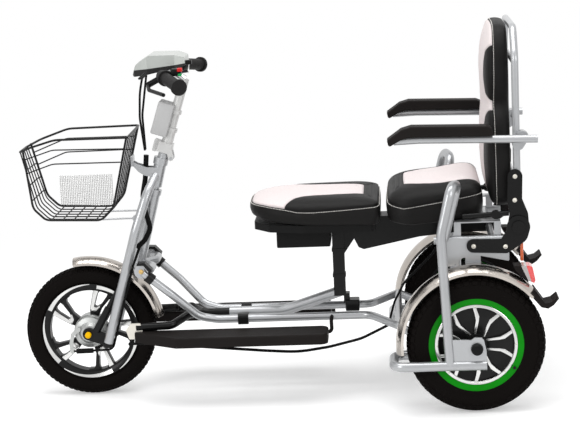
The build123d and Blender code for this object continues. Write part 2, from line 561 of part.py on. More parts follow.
def fenders():
    mid = (REAR_FENDER_Y0 + REAR_FENDER_Y1) / 2
    width = REAR_FENDER_Y1 - REAR_FENDER_Y0
    r = TYRE_R + FENDER_GAP - 2
    pair("rear_fender", arc_band(0, mid, AXLE_Z, r, width, -6, 140))
    flap = side_plate([(-152, 325), (-140, 312), (-168, 278), (-186, 274), (-200, 283), (-FLAP_REACH, 300),
                       (3 - FLAP_REACH, 304), (-196, 292), (-178, 288)], mid, width - 8, 1)
    lamp = side_plate([(-100, 384), (-106, 372), (-128, 346), (-138, 344), (-120, 384)], 254, 44, 2)
    lens = side_plate([(-120, 384), (-138, 344), (-153, 338), (-156, 346), (-149, 380), (-142, 384)], 254, 44, 2)
    twin("fender_mouldings", Compound(children=[flap, lamp]))
    twin("tail_lamps", lens)
    twin("side_reflectors", block(-131, -123, RAIL_Y - 10, RAIL_Y + 6, 383, 440, 2))


# --- seat ------------------------------------------------------------------------------------------
def seat():
    half = POST_W / 2
    post = block(POST_X - half, POST_X + half, -half, half, CENTRE_Z + 40, SEAT_Z - 30)
    for z in (315, 386):
        post = post + block(POST_X - half - 2, POST_X + half + 2, -half - 2, half + 2, z - 4, z + 4)
    foot = block(304, 342, -22, 22, CENTRE_Z - 3, CENTRE_Z + 28, 4)
    foot = foot + block(330, 346, -half + 2, half - 2, CENTRE_Z + 20, CENTRE_Z + 46)
    gusset = side_plate([(POST_X - half + 2, 452), (POST_X - half - 34, 440), (POST_X - half - 34, 424), (POST_X - half + 2, 372)], 0, 22)
    parts["seat_post"] = post + gusset + foot
    sole = SEAT_Z - 2
    beam = side_plate([(POST_X + 60, sole), (POST_X + 60, 462), (POST_X - 30, 452), (300, 396), (286, 390), (136, 420),
                       (40, RAIL_Z - 14), (-70, RAIL_Z - 14), (-70, RAIL_Z + 14), (100, sole)], 0, 70, 4)
    parts["seat_beam"] = beam
    parts["battery_box"] = block(POST_X + half + 2, 518, -88, 88, 411, SEAT_Z - 22, 4)
    rear_x = SEAT_SPLIT_X + SEAT_GAP / 2
    plan = make_face(Polyline((rear_x, -FRONT_SEAT_Y), (440, -FRONT_SEAT_Y + 3), (540, -132), (SEAT_NOSE_X, -72),
                              (SEAT_NOSE_X, 72), (540, 132), (440, FRONT_SEAT_Y - 3), (rear_x, FRONT_SEAT_Y), close=True))
    plan = fillet(plan.vertices(), 30)
    pad = Pos(0, 0, SEAT_Z) * extrude(plan, amount=SEAT_H)
    parts["front_cushion"] = fillet(pad.edges().group_by(Axis.Z)[-1], 24)
    parts["seat_base"] = Pos(0, 0, SEAT_Z - 20) * extrude(offset(plan, amount=-12), amount=20)
    top = REAR_SEAT_Z + REAR_SEAT_H
    front_x = SEAT_SPLIT_X - SEAT_GAP / 2
    rear = side_plate([(REAR_SEAT_X, REAR_SEAT_Z), (front_x, REAR_SEAT_Z - 7), (front_x, top - 20), (REAR_SEAT_X, top)],
                      0, 2 * REAR_SEAT_Y, 16)
    parts["rear_cushion"] = fillet(rear.edges().group_by(Axis.Y)[0] + rear.edges().group_by(Axis.Y)[-1], 14)


def backrest():
    front = REAR_SEAT_X - BACK_GAP
    low, high, waist = BACK_LOW_Y, BACK_HIGH_Y, min(BACK_LOW_Y, BACK_HIGH_Y) - 10
    right = [(low - 6, BACK_LOW_Z), (low, 640), (low - 2, 740), (waist, BACK_WAIST_Z), (high + 6, 850), (high - 6, 930),
             (high - 44, BACK_TOP_Z)]
    left = [(-y, z) for y, z in reversed(right)]
    face = make_face(Polyline(*(right + left), close=True))
    face = fillet(face.vertices(), 18)
    pad = extrude(Plane(origin=(front, 0, 0), x_dir=(0, 1, 0), z_dir=(1, 0, 0)) * face, amount=-BACK_T)
    parts["backrest_cushion"] = fillet(pad.edges().group_by(Axis.X)[-1], 16)
    hoop = tube([(HOOP_X, HOOP_Y, 545), (HOOP_X, HOOP_Y, HOOP_TOP_Z - 70), (HOOP_X, HOOP_Y - 50, HOOP_TOP_Z),
                 (HOOP_X, 50 - HOOP_Y, HOOP_TOP_Z), (HOOP_X, -HOOP_Y, HOOP_TOP_Z - 70), (HOOP_X, -HOOP_Y, 545)], HOOP_R, 40)
    bars = [cross_bar(HOOP_X + 2, -HOOP_Y, HOOP_Y, z, 7) for z in (590, 900)]
    parts["backrest_frame"] = hoop + bars
    upper_y = LOWER_RECLINER_Y - RECLINER_T - RECLINER_GAP
    upper = link_plate([(PIVOT_X, PIVOT_Z, 28), (-121, 505, 24), (-111, 545, 19), (-113, 607, 19)], upper_y, RECLINER_T)
    tab = [cross_bar(-112, HOOP_Y, upper_y, z, 8) for z in (552, 607)]
    twin("recliner_uppers", upper + tab)
    lower = link_plate([(PIVOT_X, PIVOT_Z, 30), (-116, 458, 28), (-84, 426, 19), (-2, 429, 18)], LOWER_RECLINER_Y, RECLINER_T)
    boss = cross_bar(PIVOT_X, LOWER_RECLINER_Y, LOWER_RECLINER_Y + 8, PIVOT_Z, 17)
    foot = cross_bar(-84, RAIL_Y + 8, LOWER_RECLINER_Y, 428, 8) + cross_bar(-2, RAIL_Y + 8, LOWER_RECLINER_Y, 429, 8)
    rod = tube([(24, RAIL_Y - 4, 503), (-96, RAIL_Y - 4, 509)], 7) + cross_bar(-62, RAIL_Y - 4, RAIL_Y + 4, 507, 12)
    twin("recliner_lowers", Compound(children=[lower + boss + foot, rod]))


def armrests():
    bar = tube([(-169, ARM_Y, ARM_PIVOT_Z + 1), (130, ARM_Y, 718), (196, ARM_Y, 716)], ARM_R, 60)
    bolt = cross_bar(ARM_PIVOT_X, HOOP_Y + 12, ARM_Y, ARM_PIVOT_Z, ARM_BOLT_R)
    pair("armrest_bar", bar + bolt)
    pad = side_plate([(-58, 724), (-52, 745), (-40, 750), (150, 755), (176, 748), (213, 722), (209, 704), (180, 720),
                      (160, 727)], ARM_Y, PAD_W, 5)
    pair("armrest_pad", fillet(pad.edges().group_by(Axis.Y)[0] + pad.edges().group_by(Axis.Y)[-1], 4))
    clamp = link_plate([(HOOP_X - 4, 690, 15), (ARM_PIVOT_X + 2, ARM_PIVOT_Z, 16)], HOOP_Y + 4, 30)
    twin("armrest_clamps", clamp)


def cables():
    """Held cables in three lengths that stop short of the steering and folding joints."""
    bar = [tube([(858, s * 40, 892), (868, s * 54, 841), (876, s * 26, 769), (870, s * 7, 678)], CABLE_R, [60, 80])
           for s in (1, -1)]
    parts["bar_cables"] = Compound(children=bar)
    loom = tube([(868, 0, 664), (874, 0, 600), (882, 14, 556), (874, 40, 515), (862, 42, 468), (880, 46, 436),
                 (902, 54, 418)], LOOM_R, [60, 40, 40, 30, 24])
    tail = tube([(888, 49, 430), (leg_x(376) - 17, 76, 376), (leg_x(216) - 17, 80, 216)], CABLE_R, 40)
    brake = tube([(892, 52, 426), (leg_x(376) - 16, 70, 376), (leg_x(190) - 16, 68, 190), (982, 64, 138), (1040, 50, 133),
                  (1094, 45, 131)], CABLE_R, [40, 60, 24, 30])
    boot = tube([(1040, 50, 133), (1086, 46, 131.3)], BOOT_R)
    parts["fork_cables"] = loom + tail + brake + boot
    low = BOARD_TOP_Z - BOARD_T - CABLE_R
    runs = [tube([(930, 112 + d, low - 2), (880, 118 + d, low), (560, 140 + d, 144), (470, 142 + d, 138), (386, 116 + d, 143),
                  (300, 96 + d, 158), (206, 84 + d, 200)], CABLE_R, [60, 400, 200, 120, 120]) for d in (0, 7)]
    rise = tube([(222, 140, SIDE_Z + 4), (208, 142, 267), (180, 146, 321), (104, 150, 396), (74, 150, RAIL_Z)], CABLE_R,
                [60, 80, 60])
    parts["frame_cables"] = Compound(children=[runs[0] + runs[1], rise])


def fits():
    """Coped tube ends, bores and seats: each piece is cut to the one it meets."""
    hole = disc(WHEELBASE, 0, TYRE_R, AXLE_R + RUN_GAP, 3 * FRONT_TYRE_W)
    parts["front_hub"] -= hole
    parts["brake_plate"] -= disc(WHEELBASE, 0, TYRE_R, AXLE_R, 3 * FRONT_TYRE_W)
    cut("front_rim", "front_hub")
    cut("front_tyre", "front_rim")
    cut("fork_links", "fork", "front_axle")
    cut("brake_plate", "fork_links")
    cut("basket_bracket", "fork", "basket")
    cut("front_fender", "fork")
    cut("handlebar", "stem")
    cut("grips", "handlebar")
    cut("brake_levers", "handlebar", "grips")
    cut("dash", "handlebar", "stem", "brake_levers")
    cut("headlight", "handlebar")
    cut("meter_box", "stem", "handlebar")
    cut("front_support", "centre_tube", "footboard_left", "footboard_right")
    cut("rear_frame", "rear_axles", "rear_cushion", "rear_fender_left", "rear_fender_right")
    cut("board_brackets", "front_support", "footboard_left", "footboard_right")
    for side, s in (("_left", 1), ("_right", -1)):
        hole = disc(0, s * TRACK_Y, AXLE_Z, REAR_AXLE_R + RUN_GAP, 3 * REAR_TYRE_W)
        parts["rear_hub" + side] -= hole
        cut("rear_rim" + side, "rear_hub" + side)
        cut("rear_tyre" + side, "rear_rim" + side)
        cut("guard" + side, "rear_frame")
        cut("side_tube" + side, "head_tube", "rear_frame")
        cut("footboard" + side, "side_tube" + side)
        cut("armrest_bar" + side, "armrest_pad" + side)
        cut("rear_fender" + side, "guard" + side)
    cut("tube_clamps", "centre_tube", "front_support", "head_tube", "side_tube_left", "side_tube_right")
    cut("cross_tube", "side_tube_left", "side_tube_right")
    parts["rear_frame"] = Compound(children=[parts["rear_frame"], parts.pop("cross_tube")])
    cut("axle_plates", "rear_axles", "rear_frame", "guard_left", "guard_right", "side_tube_left", "side_tube_right")
    cut("seat_beam", "rear_frame")
    cut("seat_base", "seat_beam")
    cut("seat_post", "seat_beam")
    cut("battery_box", "seat_base", "seat_post", "seat_beam")
    cut("seat_post", "centre_tube")
    cut("recliner_lowers", "rear_frame")
    cut("recliner_uppers", "backrest_frame")
    cut("fender_mouldings", "rear_fender_left", "rear_fender_right")
    cut("tail_lamps", "rear_fender_left", "rear_fender_right", "fender_mouldings")
    cut("side_reflectors", "rear_frame", "recliner_lowers")
    cut("armrest_clamps", "backrest_frame")
    cut("bar_cables", "dash", "stem", "meter_box", "brake_levers")
    cut("fork_cables", "fork", "basket_bracket", "fork_links", "front_axle", "brake_plate")
    cut("frame_cables", "footboard_left", "side_tube_left", "rear_frame")
    bolt_hole = cross_bar(ARM_PIVOT_X, -ARM_Y, ARM_Y, ARM_PIVOT_Z, ARM_BOLT_R + RUN_GAP)
    parts["armrest_clamps"] = parts["armrest_clamps"] - bolt_hole


for build in (front_wheel, rear_wheels, fork, front_fender, basket, stem, frame, boards, rear_frame, fenders, seat,
              backrest, armrests, cables, fits):
    build()

os.makedirs("parts", exist_ok=True)
for name, shape in parts.items():
    export_step(Pos(ROW_SHIFT, 0, 0) * shape, "parts/" + name + ".step")
print(len(parts), "parts")
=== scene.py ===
# %% [markdown]
# # A light electric tricycle
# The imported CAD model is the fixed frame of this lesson: every tube, plate and wheel already has its
# place and its joint. What follows dresses it: paint, steel, rubber, leatherette and the small things
# that a maker adds last. Everything is in metres, X forward, Y to the rider's left, Z up.

# %% Load the frame
import json
import math

import bmesh
import bpy
import numpy as np
from mathutils import Matrix, Vector
from mathutils.bvhtree import BVHTree


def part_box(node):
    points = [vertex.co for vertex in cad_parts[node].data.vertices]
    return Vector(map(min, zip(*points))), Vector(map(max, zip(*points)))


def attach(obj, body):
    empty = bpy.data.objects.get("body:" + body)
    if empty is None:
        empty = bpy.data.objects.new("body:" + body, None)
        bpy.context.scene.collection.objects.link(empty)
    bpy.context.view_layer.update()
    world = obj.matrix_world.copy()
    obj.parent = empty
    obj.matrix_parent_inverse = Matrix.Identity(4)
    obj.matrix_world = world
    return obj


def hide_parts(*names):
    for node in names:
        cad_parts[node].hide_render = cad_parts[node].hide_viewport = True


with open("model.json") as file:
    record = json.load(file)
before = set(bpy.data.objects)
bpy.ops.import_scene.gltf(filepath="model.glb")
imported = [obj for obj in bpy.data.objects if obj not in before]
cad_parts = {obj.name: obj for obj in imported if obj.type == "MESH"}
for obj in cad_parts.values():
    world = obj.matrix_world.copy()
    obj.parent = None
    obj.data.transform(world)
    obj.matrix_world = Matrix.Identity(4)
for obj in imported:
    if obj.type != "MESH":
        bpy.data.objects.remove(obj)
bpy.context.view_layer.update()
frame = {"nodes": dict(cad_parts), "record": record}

# %% [markdown]
# ## Where things are
# The tricycle was drawn with its rear axle at X = 0, in millimetres. The middle of the left rear tyre's
# box gives that axle in this frame, so one small function turns a drawn place into a scene place.

# %% Places and sizes
MM = 0.001


def centre_of(node):
    """Middle of a CAD node's box."""
    low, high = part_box(node)
    return (low + high) / 2


REAR_AXLE = centre_of("rear_tyre_left")
FRONT_AXLE = centre_of("front_tyre")
REAR_X = REAR_AXLE.x
TRACK_Y = REAR_AXLE.y / MM
WHEELBASE = (FRONT_AXLE.x - REAR_X) / MM
TYRE_R = FRONT_AXLE.z / MM


def at(x, y, z):
    """Scene place of a drawn place: millimetres from the rear axle, the middle and the ground."""
    return Vector((REAR_X + x * MM, y * MM, z * MM))


def show(name, data):
    """New object in the scene for a mesh, curve, light or camera."""
    made = bpy.data.objects.new(name, data)
    bpy.context.scene.collection.objects.link(made)
    return made


print("wheelbase", round(WHEELBASE), "track", round(2 * TRACK_Y), "tyre radius", round(TYRE_R))

# %% [markdown]
# ## Camera
# A long lens a few metres away on the left side, a little above the backrest, looking slightly down and
# slightly towards the front. The three columns of its turn are right, up and backwards.

# %% Camera
CAMERA_PLACE = Vector((REAR_X + 0.1924, 4.8213, 1.4069))
PITCH_DOWN = math.radians(10.892)
YAW = math.radians(3.468)
ROLL = math.radians(-2.569)
LENS = 112.05


def camera_turn(pitch, yaw, roll):
    """Turn of a camera on the left side that looks along -Y, then yawed, pitched and rolled."""
    look = Vector((math.sin(yaw) * math.cos(pitch), -math.cos(yaw) * math.cos(pitch), -math.sin(pitch)))
    level = Vector((-math.cos(yaw), -math.sin(yaw), 0))
    lift = level.cross(look)
    right = level * math.cos(roll) + lift * math.sin(roll)
    up = lift * math.cos(roll) - level * math.sin(roll)
    return Matrix((right, up, -look)).transposed()


camera_data = bpy.data.cameras.new("camera")
camera_data.lens = LENS
camera_data.sensor_width = 36.0
camera_data.clip_end = 100.0
camera = show("camera", camera_data)
camera.matrix_world = Matrix.Translation(CAMERA_PLACE) @ camera_turn(PITCH_DOWN, YAW, ROLL).to_4x4()
bpy.context.scene.camera = camera
bpy.context.scene.view_settings.view_transform = "Standard"
print("camera at", [round(v, 2) for v in CAMERA_PLACE])

# %% [markdown]
# ## Numbers and finishes in a shader
# Node graphs are easier to read as sums. `Number` wraps one socket: `1 - mask` adds a Math node.
# `Finish` owns one material. Its `add` takes a node's type, its settings and its sockets, and the
# helpers below it name what a finisher talks about: noise, blends, bumps.


# %% Shader helpers
class Number:
    """A value in a material, on which Python's operators add Math nodes."""

    def __init__(self, finish, socket):
        self.finish = finish
        self.socket = socket

    def __add__(self, other):
        return self.finish.maths("ADD", self, other)

    __radd__ = __add__

    def __sub__(self, other):
        return self.finish.maths("SUBTRACT", self, other)

    def __rsub__(self, other):
        return self.finish.maths("SUBTRACT", other, self)

    def __mul__(self, other):
        return self.finish.maths("MULTIPLY", self, other)

    __rmul__ = __mul__

    def __pow__(self, other):
        return self.finish.maths("POWER", self, other)

    def __abs__(self):
        return self.finish.maths("ABSOLUTE", self)


class Finish:
    """One material and the few calls that build it."""

    def __init__(self, name, **fixed):
        self.material = bpy.data.materials.new(name)
        self.material.use_nodes = True
        self.tree = self.material.node_tree
        self.tree.nodes.clear()
        self.shader = self.add("ShaderNodeBsdfPrincipled")
        output = self.add("ShaderNodeOutputMaterial")
        self.tree.links.new(self.shader.outputs[0], output.inputs["Surface"])
        self.place = self.add("ShaderNodeTexCoord").outputs["Object"]
        for socket, value in fixed.items():
            self.feed(self.shader.inputs[socket.replace("_", " ")], value)

    def feed(self, socket, value):
        """Link a Number or a socket, or set a plain value."""
        if isinstance(value, Number):
            value = value.socket
        if isinstance(value, bpy.types.NodeSocket):
            self.tree.links.new(value, socket)
        elif socket.type == "RGBA":
            socket.default_value = (*value[:3], 1.0)
        else:
            socket.default_value = value

    def add(self, kind, settings=None, sockets=None):
        """Any node: its type, its settings, which are set first, and its sockets."""
        node = self.tree.nodes.new(kind)
        for name, value in (settings or {}).items():
            setattr(node, name, value)
        for name, value in (sockets or {}).items():
            self.feed(node.inputs[name], value)
        return node

    def maths(self, operation, *terms):
        """A Math node on one or two terms."""
        node = self.add("ShaderNodeMath", {"operation": operation}, dict(enumerate(terms)))
        return Number(self, node.outputs[0])

    def noise(self, scale, detail=3.0, rough=0.5, place=None):
        """Soft random values around 0.5, one swing about every 1/scale metres."""
        sockets = {"Scale": scale, "Detail": detail, "Roughness": rough, "Vector": place or self.place}
        return Number(self, self.add("ShaderNodeTexNoise", None, sockets).outputs["Fac"])

    def cells(self, scale):
        """Distance in a field of random cells, as pebbled grain has."""
        node = self.add("ShaderNodeTexVoronoi", {"feature": "F1"}, {"Scale": scale, "Vector": self.place})
        return Number(self, node.outputs["Distance"])

    def stretched(self, x, y, z):
        """Object place scaled along its axes."""
        node = self.add("ShaderNodeMapping", {"vector_type": "POINT"},
                        {"Vector": self.place, "Scale": (x, y, z)})
        return node.outputs[0]

    def axis(self, letter):
        """One coordinate of the object place, in metres."""
        node = self.add("ShaderNodeSeparateXYZ", None, {"Vector": self.place})
        return Number(self, node.outputs[letter])

    def attribute(self, name):
        """A number stored on the mesh."""
        return Number(self, self.add("ShaderNodeAttribute", {"attribute_name": name}).outputs["Fac"])

    def ramp(self, value, low, high):
        """0 below low, 1 above high, a smooth rise between."""
        node = self.add("ShaderNodeMapRange", {"interpolation_type": "SMOOTHSTEP"},
                        {"Value": value, "From Min": low, "From Max": high})
        return Number(self, node.outputs["Result"])

    def blend(self, share, a, b):
        """Colour a where share is 0 and b where it is 1."""
        node = self.add("ShaderNodeMix", {"data_type": "RGBA"})
        self.feed(node.inputs[0], share)
        self.feed(node.inputs[6], a)
        self.feed(node.inputs[7], b)
        return node.outputs[2]

    def colour(self, value):
        """Set or link the base colour."""
        self.feed(self.shader.inputs["Base Color"], value)
        return self

    def rough(self, value):
        """Set or link the roughness."""
        self.feed(self.shader.inputs["Roughness"], value)
        return self

    def bump(self, height, depth, strength=1.0):
        """Relief of depth metres, where height goes from 0 to 1."""
        node = self.add("ShaderNodeBump", None, {"Strength": strength, "Distance": depth, "Height": height})
        self.feed(self.shader.inputs["Normal"], node.outputs[0])
        return self


print("shader helpers ready")

# %% [markdown]
# ## Studio
# A product studio is mostly large white boxes. One softbox hangs over the tricycle and one stands on
# each side of the camera. The floor is a pale disc that keeps a soft shadow and fades into white, so
# there is no horizon. Camera, glossy and transmission rays see white, and the other rays see a dimmer
# sky, which keeps the light on the object plain.

# %% Lights and world
SKY_FILL = 0.62


def softbox(name, place, aim, size, watts):
    """Square area light that looks at a point."""
    data = bpy.data.lights.new(name, "AREA")
    data.shape = "RECTANGLE"
    data.size, data.size_y = size
    data.energy = watts
    lamp = show(name, data)
    lamp.location = place
    lamp.rotation_euler = (Vector(aim) - Vector(place)).to_track_quat("-Z", "Y").to_euler()
    return lamp


softbox("softbox_top", (0.0, 0.3, 3.2), (0.0, 0.0, 0.3), (3.0, 2.2), 78.0)
softbox("softbox_front_side", (2.6, 3.2, 1.9), (0.0, 0.0, 0.5), (1.6, 1.6), 46.0)
softbox("softbox_rear_side", (-2.8, 2.9, 1.7), (0.0, 0.0, 0.5), (1.4, 1.4), 30.0)

world = bpy.data.worlds.new("studio")
bpy.context.scene.world = world
world.use_nodes = True
sky = world.node_tree
sky.nodes.clear()
rays = sky.nodes.new("ShaderNodeLightPath")
seen = sky.nodes.new("ShaderNodeMath")
seen.operation = "ADD"
seen_or_through = sky.nodes.new("ShaderNodeMath")
seen_or_through.operation = "ADD"
seen_or_through.use_clamp = True
strength = sky.nodes.new("ShaderNodeMapRange")
background = sky.nodes.new("ShaderNodeBackground")
sky_output = sky.nodes.new("ShaderNodeOutputWorld")
strength.inputs["To Min"].default_value = SKY_FILL
strength.inputs["To Max"].default_value = 1.0
background.inputs["Color"].default_value = (1.0, 1.0, 1.0, 1.0)
sky.links.new(rays.outputs["Is Camera Ray"], seen.inputs[0])
sky.links.new(rays.outputs["Is Glossy Ray"], seen.inputs[1])
sky.links.new(seen.outputs[0], seen_or_through.inputs[0])
sky.links.new(rays.outputs["Is Transmission Ray"], seen_or_through.inputs[1])
sky.links.new(seen_or_through.outputs[0], strength.inputs["Value"])
sky.links.new(strength.outputs["Result"], background.inputs["Strength"])
sky.links.new(background.outputs[0], sky_output.inputs["Surface"])

# %% Floor
FLOOR_R = 6.0
FLOOR_FADE = (1.1, 2.6)
FLOOR_LIFT = 0.36
FLOOR_SIDES = 96
FLOOR_PAINT = (0.78, 0.78, 0.78)
WHITE = (1.0, 1.0, 1.0)


def floor_finish():
    """White paint that glows a little, so that its lit part is white and its shadow is pale grey."""
    paint = Finish("floor_paint", Roughness=0.9, Specular_IOR_Level=0.0)
    paint.colour(FLOOR_PAINT)
    path = paint.add("ShaderNodeLightPath")
    seen_share = Number(paint, path.outputs["Is Camera Ray"]) + Number(paint, path.outputs["Is Glossy Ray"])
    length = paint.add("ShaderNodeVectorMath", {"operation": "LENGTH"}, {0: paint.place})
    far = paint.ramp(Number(paint, length.outputs["Value"]), *FLOOR_FADE)
    glow = paint.add("ShaderNodeEmission", None, {"Color": WHITE, "Strength": 1.0})
    lift = paint.add("ShaderNodeEmission", None, {"Color": WHITE, "Strength": seen_share * FLOOR_LIFT})
    lit = paint.add("ShaderNodeAddShader", None, {0: paint.shader.outputs[0], 1: lift.outputs[0]})
    mixed = paint.add("ShaderNodeMixShader", None,
                      {0: far * seen_share, 1: lit.outputs[0], 2: glow.outputs[0]})
    output = [n for n in paint.tree.nodes if n.bl_idname == "ShaderNodeOutputMaterial"][0]
    paint.tree.links.new(mixed.outputs[0], output.inputs["Surface"])
    return paint.material


floor_mesh = bpy.data.meshes.new("studio_floor")
floor_turns = [math.tau * i / FLOOR_SIDES for i in range(FLOOR_SIDES)]
floor_points = [(FLOOR_R * math.cos(turn), FLOOR_R * math.sin(turn), 0.0) for turn in floor_turns]
floor_mesh.from_pydata(floor_points, [], [tuple(range(FLOOR_SIDES))])
floor_mesh.materials.append(floor_finish())
floor = show("studio_floor", floor_mesh)
print("floor radius", FLOOR_R)

# %% [markdown]
# ## Finishes
# Each finish is one function named after what a maker would order. None is a flat colour: powder coat
# has orange peel, steel has fine polishing marks, rubber is dusty, leatherette is pebbled.


# %% Metals and paints
def times(colour, factor):
    """A darker or paler version of a colour."""
    return tuple(c * factor for c in colour)


def powder_coat(name, colour, rough, metallic, dust=0.08):
    """Sprayed and baked coat with orange peel, a little dust and handling marks."""
    coat = Finish(name, Metallic=metallic, Coat_Weight=0.25, Coat_Roughness=0.18)
    cloudy = coat.noise(9.0, 4.0, 0.6)
    marks = coat.ramp(coat.noise(60.0, 5.0, 0.7), 0.58, 0.72)
    dull = times(colour, 1 - dust)
    shade = coat.blend(coat.ramp(cloudy, 0.3, 0.7), dull, colour)
    coat.colour(coat.blend(marks * 0.18, shade, times(colour, 0.8)))
    coat.rough(rough + cloudy * 0.08 + marks * 0.08)
    coat.bump(coat.noise(900.0, 2.0), 0.0003, 0.25)
    return coat.material


def polished_steel(name, colour, rough, stretch=(1.0, 14.0, 1.0)):
    """Bright stainless sheet with fine lines left by the polishing wheel."""
    steel = Finish(name, Metallic=1.0)
    lines = steel.noise(90.0, 4.0, 0.6, steel.stretched(*stretch))
    smears = steel.noise(14.0, 3.0, 0.55)
    steel.colour(steel.blend(steel.ramp(smears, 0.35, 0.7), times(colour, 0.82), colour))
    steel.rough(rough + lines * 0.06 + smears * 0.05)
    steel.bump(lines, 0.0002, 0.2)
    return steel.material


def cast_metal(name, colour, rough):
    """Zinc or aluminium with a fine sandy skin."""
    cast = Finish(name, Metallic=0.85)
    sand = cast.noise(700.0, 3.0, 0.6)
    cloudy = cast.noise(40.0, 4.0, 0.6)
    cast.colour(cast.blend(cloudy, times(colour, 0.78), colour))
    cast.rough(rough + cloudy * 0.15)
    cast.bump(sand, 0.0004, 0.5)
    return cast.material


def gloss_black(name, colour=(0.005, 0.005, 0.005), rough=0.2):
    """Thick black enamel, glossy, with faint dust."""
    enamel = Finish(name, Coat_Weight=0.12, Coat_Roughness=0.08, Specular_IOR_Level=0.12)
    dust = enamel.ramp(enamel.noise(120.0, 5.0, 0.75), 0.6, 0.78)
    enamel.colour(enamel.blend(dust * 0.25, colour, (0.03, 0.029, 0.028)))
    enamel.rough(rough + enamel.noise(18.0) * 0.12 + dust * 0.15)
    enamel.bump(enamel.noise(500.0, 2.0), 0.0003, 0.2)
    return enamel.material


# %% Rubbers and plastics
def rubber(name, colour, rough, grain=420.0, depth=0.0005, dust=0.3):
    """Dark rubber with a matt bloom and a little road dust."""
    stuff = Finish(name, Specular_IOR_Level=0.05)
    bloom = stuff.noise(22.0, 5.0, 0.6)
    specks = stuff.ramp(stuff.noise(240.0, 4.0, 0.7), 0.6, 0.75)
    pale = tuple(c * 1.9 + 0.006 for c in colour)
    body = stuff.blend(bloom, colour, times(colour, 1.35))
    stuff.colour(stuff.blend(specks * dust, body, pale))
    stuff.rough(rough + bloom * 0.12)
    stuff.bump(stuff.noise(grain, 3.0), depth, 0.4)
    return stuff.material


def moulded_plastic(name, colour, rough=0.38, grain=650.0):
    """Injection-moulded shell with a spark-eroded texture."""
    shell = Finish(name, Specular_IOR_Level=0.1)
    cloudy = shell.noise(12.0, 3.0)
    shell.colour(shell.blend(shell.ramp(cloudy, 0.3, 0.7), times(colour, 0.9), colour))
    shell.rough(rough + cloudy * 0.1)
    shell.bump(shell.cells(grain), 0.0003, 0.35)
    return shell.material


def lamp_lens(name, colour, rough=0.08, ribs=260.0, metallic=0.0):
    """Coloured lens with moulded ribs that scatter the light; its colour has painted shade in the troughs
    of the ribs.
    """
    lens = Finish(name, Coat_Weight=1.0, Coat_Roughness=0.03, Metallic=metallic)
    up = lens.axis("Z")
    along = lens.axis("Y")
    wave = lens.maths("SINE", up * ribs * math.tau) * 0.5 + 0.5
    cross = lens.maths("SINE", along * ribs * math.tau) * 0.5 + 0.5
    rib_relief_and_shade = wave * 0.6 + cross * 0.4
    # painted shade: the lens colour darkens where the ribs dip, and the same rib mask also gives the bumps
    lens.colour(lens.blend(rib_relief_and_shade, times(colour, 0.62), colour))
    lens.rough(rough + rib_relief_and_shade * 0.1)
    lens.bump(rib_relief_and_shade, 0.0008, 0.8)
    return lens.material


# %% Leatherette
def leatherette(name, colour, rough, grain=620.0, depth=0.0007):
    """Pebbled vinyl: rounded cells, with painted shade in the creases between them, a soft sheen on the
    tops.
    """
    vinyl = Finish(name, Specular_IOR_Level=0.12)
    pebble = vinyl.cells(grain)
    crease_and_shade = vinyl.ramp(pebble, 0.35, 0.75)
    cloudy = vinyl.noise(16.0, 4.0, 0.6)
    body = vinyl.blend(vinyl.ramp(cloudy, 0.3, 0.75), times(colour, 0.88), colour)
    # painted shade: the colour darkens towards the cell edges, the creases, which are also made rougher
    vinyl.colour(vinyl.blend(crease_and_shade * 0.35, body, times(colour, 0.6)))
    vinyl.rough(rough + crease_and_shade * 0.12 + cloudy * 0.06)
    fine = vinyl.noise(90.0, 4.0, 0.6)
    vinyl.bump((1 - pebble) * 0.7 + fine * 0.9, depth, 0.55)
    return vinyl.material


def two_tone_leatherette(name, black, pale):
    """Black sides and bolsters round a pale insert, with painted shade in the creases and the pressed
    seams. The mesh says how far each point is from the joint and where the seams are pressed in.
    """
    vinyl = Finish(name, Specular_IOR_Level=0.12)
    gap = vinyl.attribute("insert_edge")
    groove_shade = vinyl.attribute("groove_shade")
    inside = vinyl.ramp(gap, -0.0004, 0.0004)
    pebble = vinyl.cells(620.0)
    crease_and_shade = vinyl.ramp(pebble, 0.35, 0.75)
    cloudy = vinyl.noise(14.0, 4.0, 0.6)
    light = vinyl.blend(cloudy, times(pale, 0.93), pale)
    dark = vinyl.blend(cloudy, times(black, 0.8), times(black, 1.2))
    body = vinyl.blend(inside, dark, light)
    # painted shade: near black on the bolsters and a darker pale on the insert, laid into the creases and
    # the pressed seams
    painted_shade_colour = vinyl.blend(inside, (0.004, 0.004, 0.004), times(pale, 0.6))
    vinyl.colour(vinyl.blend(crease_and_shade * 0.3 + groove_shade * 0.6, body, painted_shade_colour))
    vinyl.rough(0.4 + crease_and_shade * 0.12 + cloudy * 0.08 + inside * 0.08)
    fine = vinyl.noise(80.0, 4.0, 0.6)
    vinyl.bump((1 - pebble) * 0.6 + fine * 1.0, 0.0007, 0.5)
    return vinyl.material


# %% Finishes with two zones
# radii between which the bare ring of a rear rim turns into its green enamel, in metres
GREEN_FROM = (0.1046, 0.1050)
# millimetres outward of the wheel's middle between which black turns into the outer face's finish
OUTER_FROM = (4, 5)
# half width of the soft edge where the dash changes colour, in metres
DASH_EDGE = 0.0003
# the tail lamp's red band: height it turns about, its lean, and where it starts behind the axle
LAMP_Z, BAND_LEAN, BAND_FROM = 0.365, 0.28, (0.1385, 0.1395)


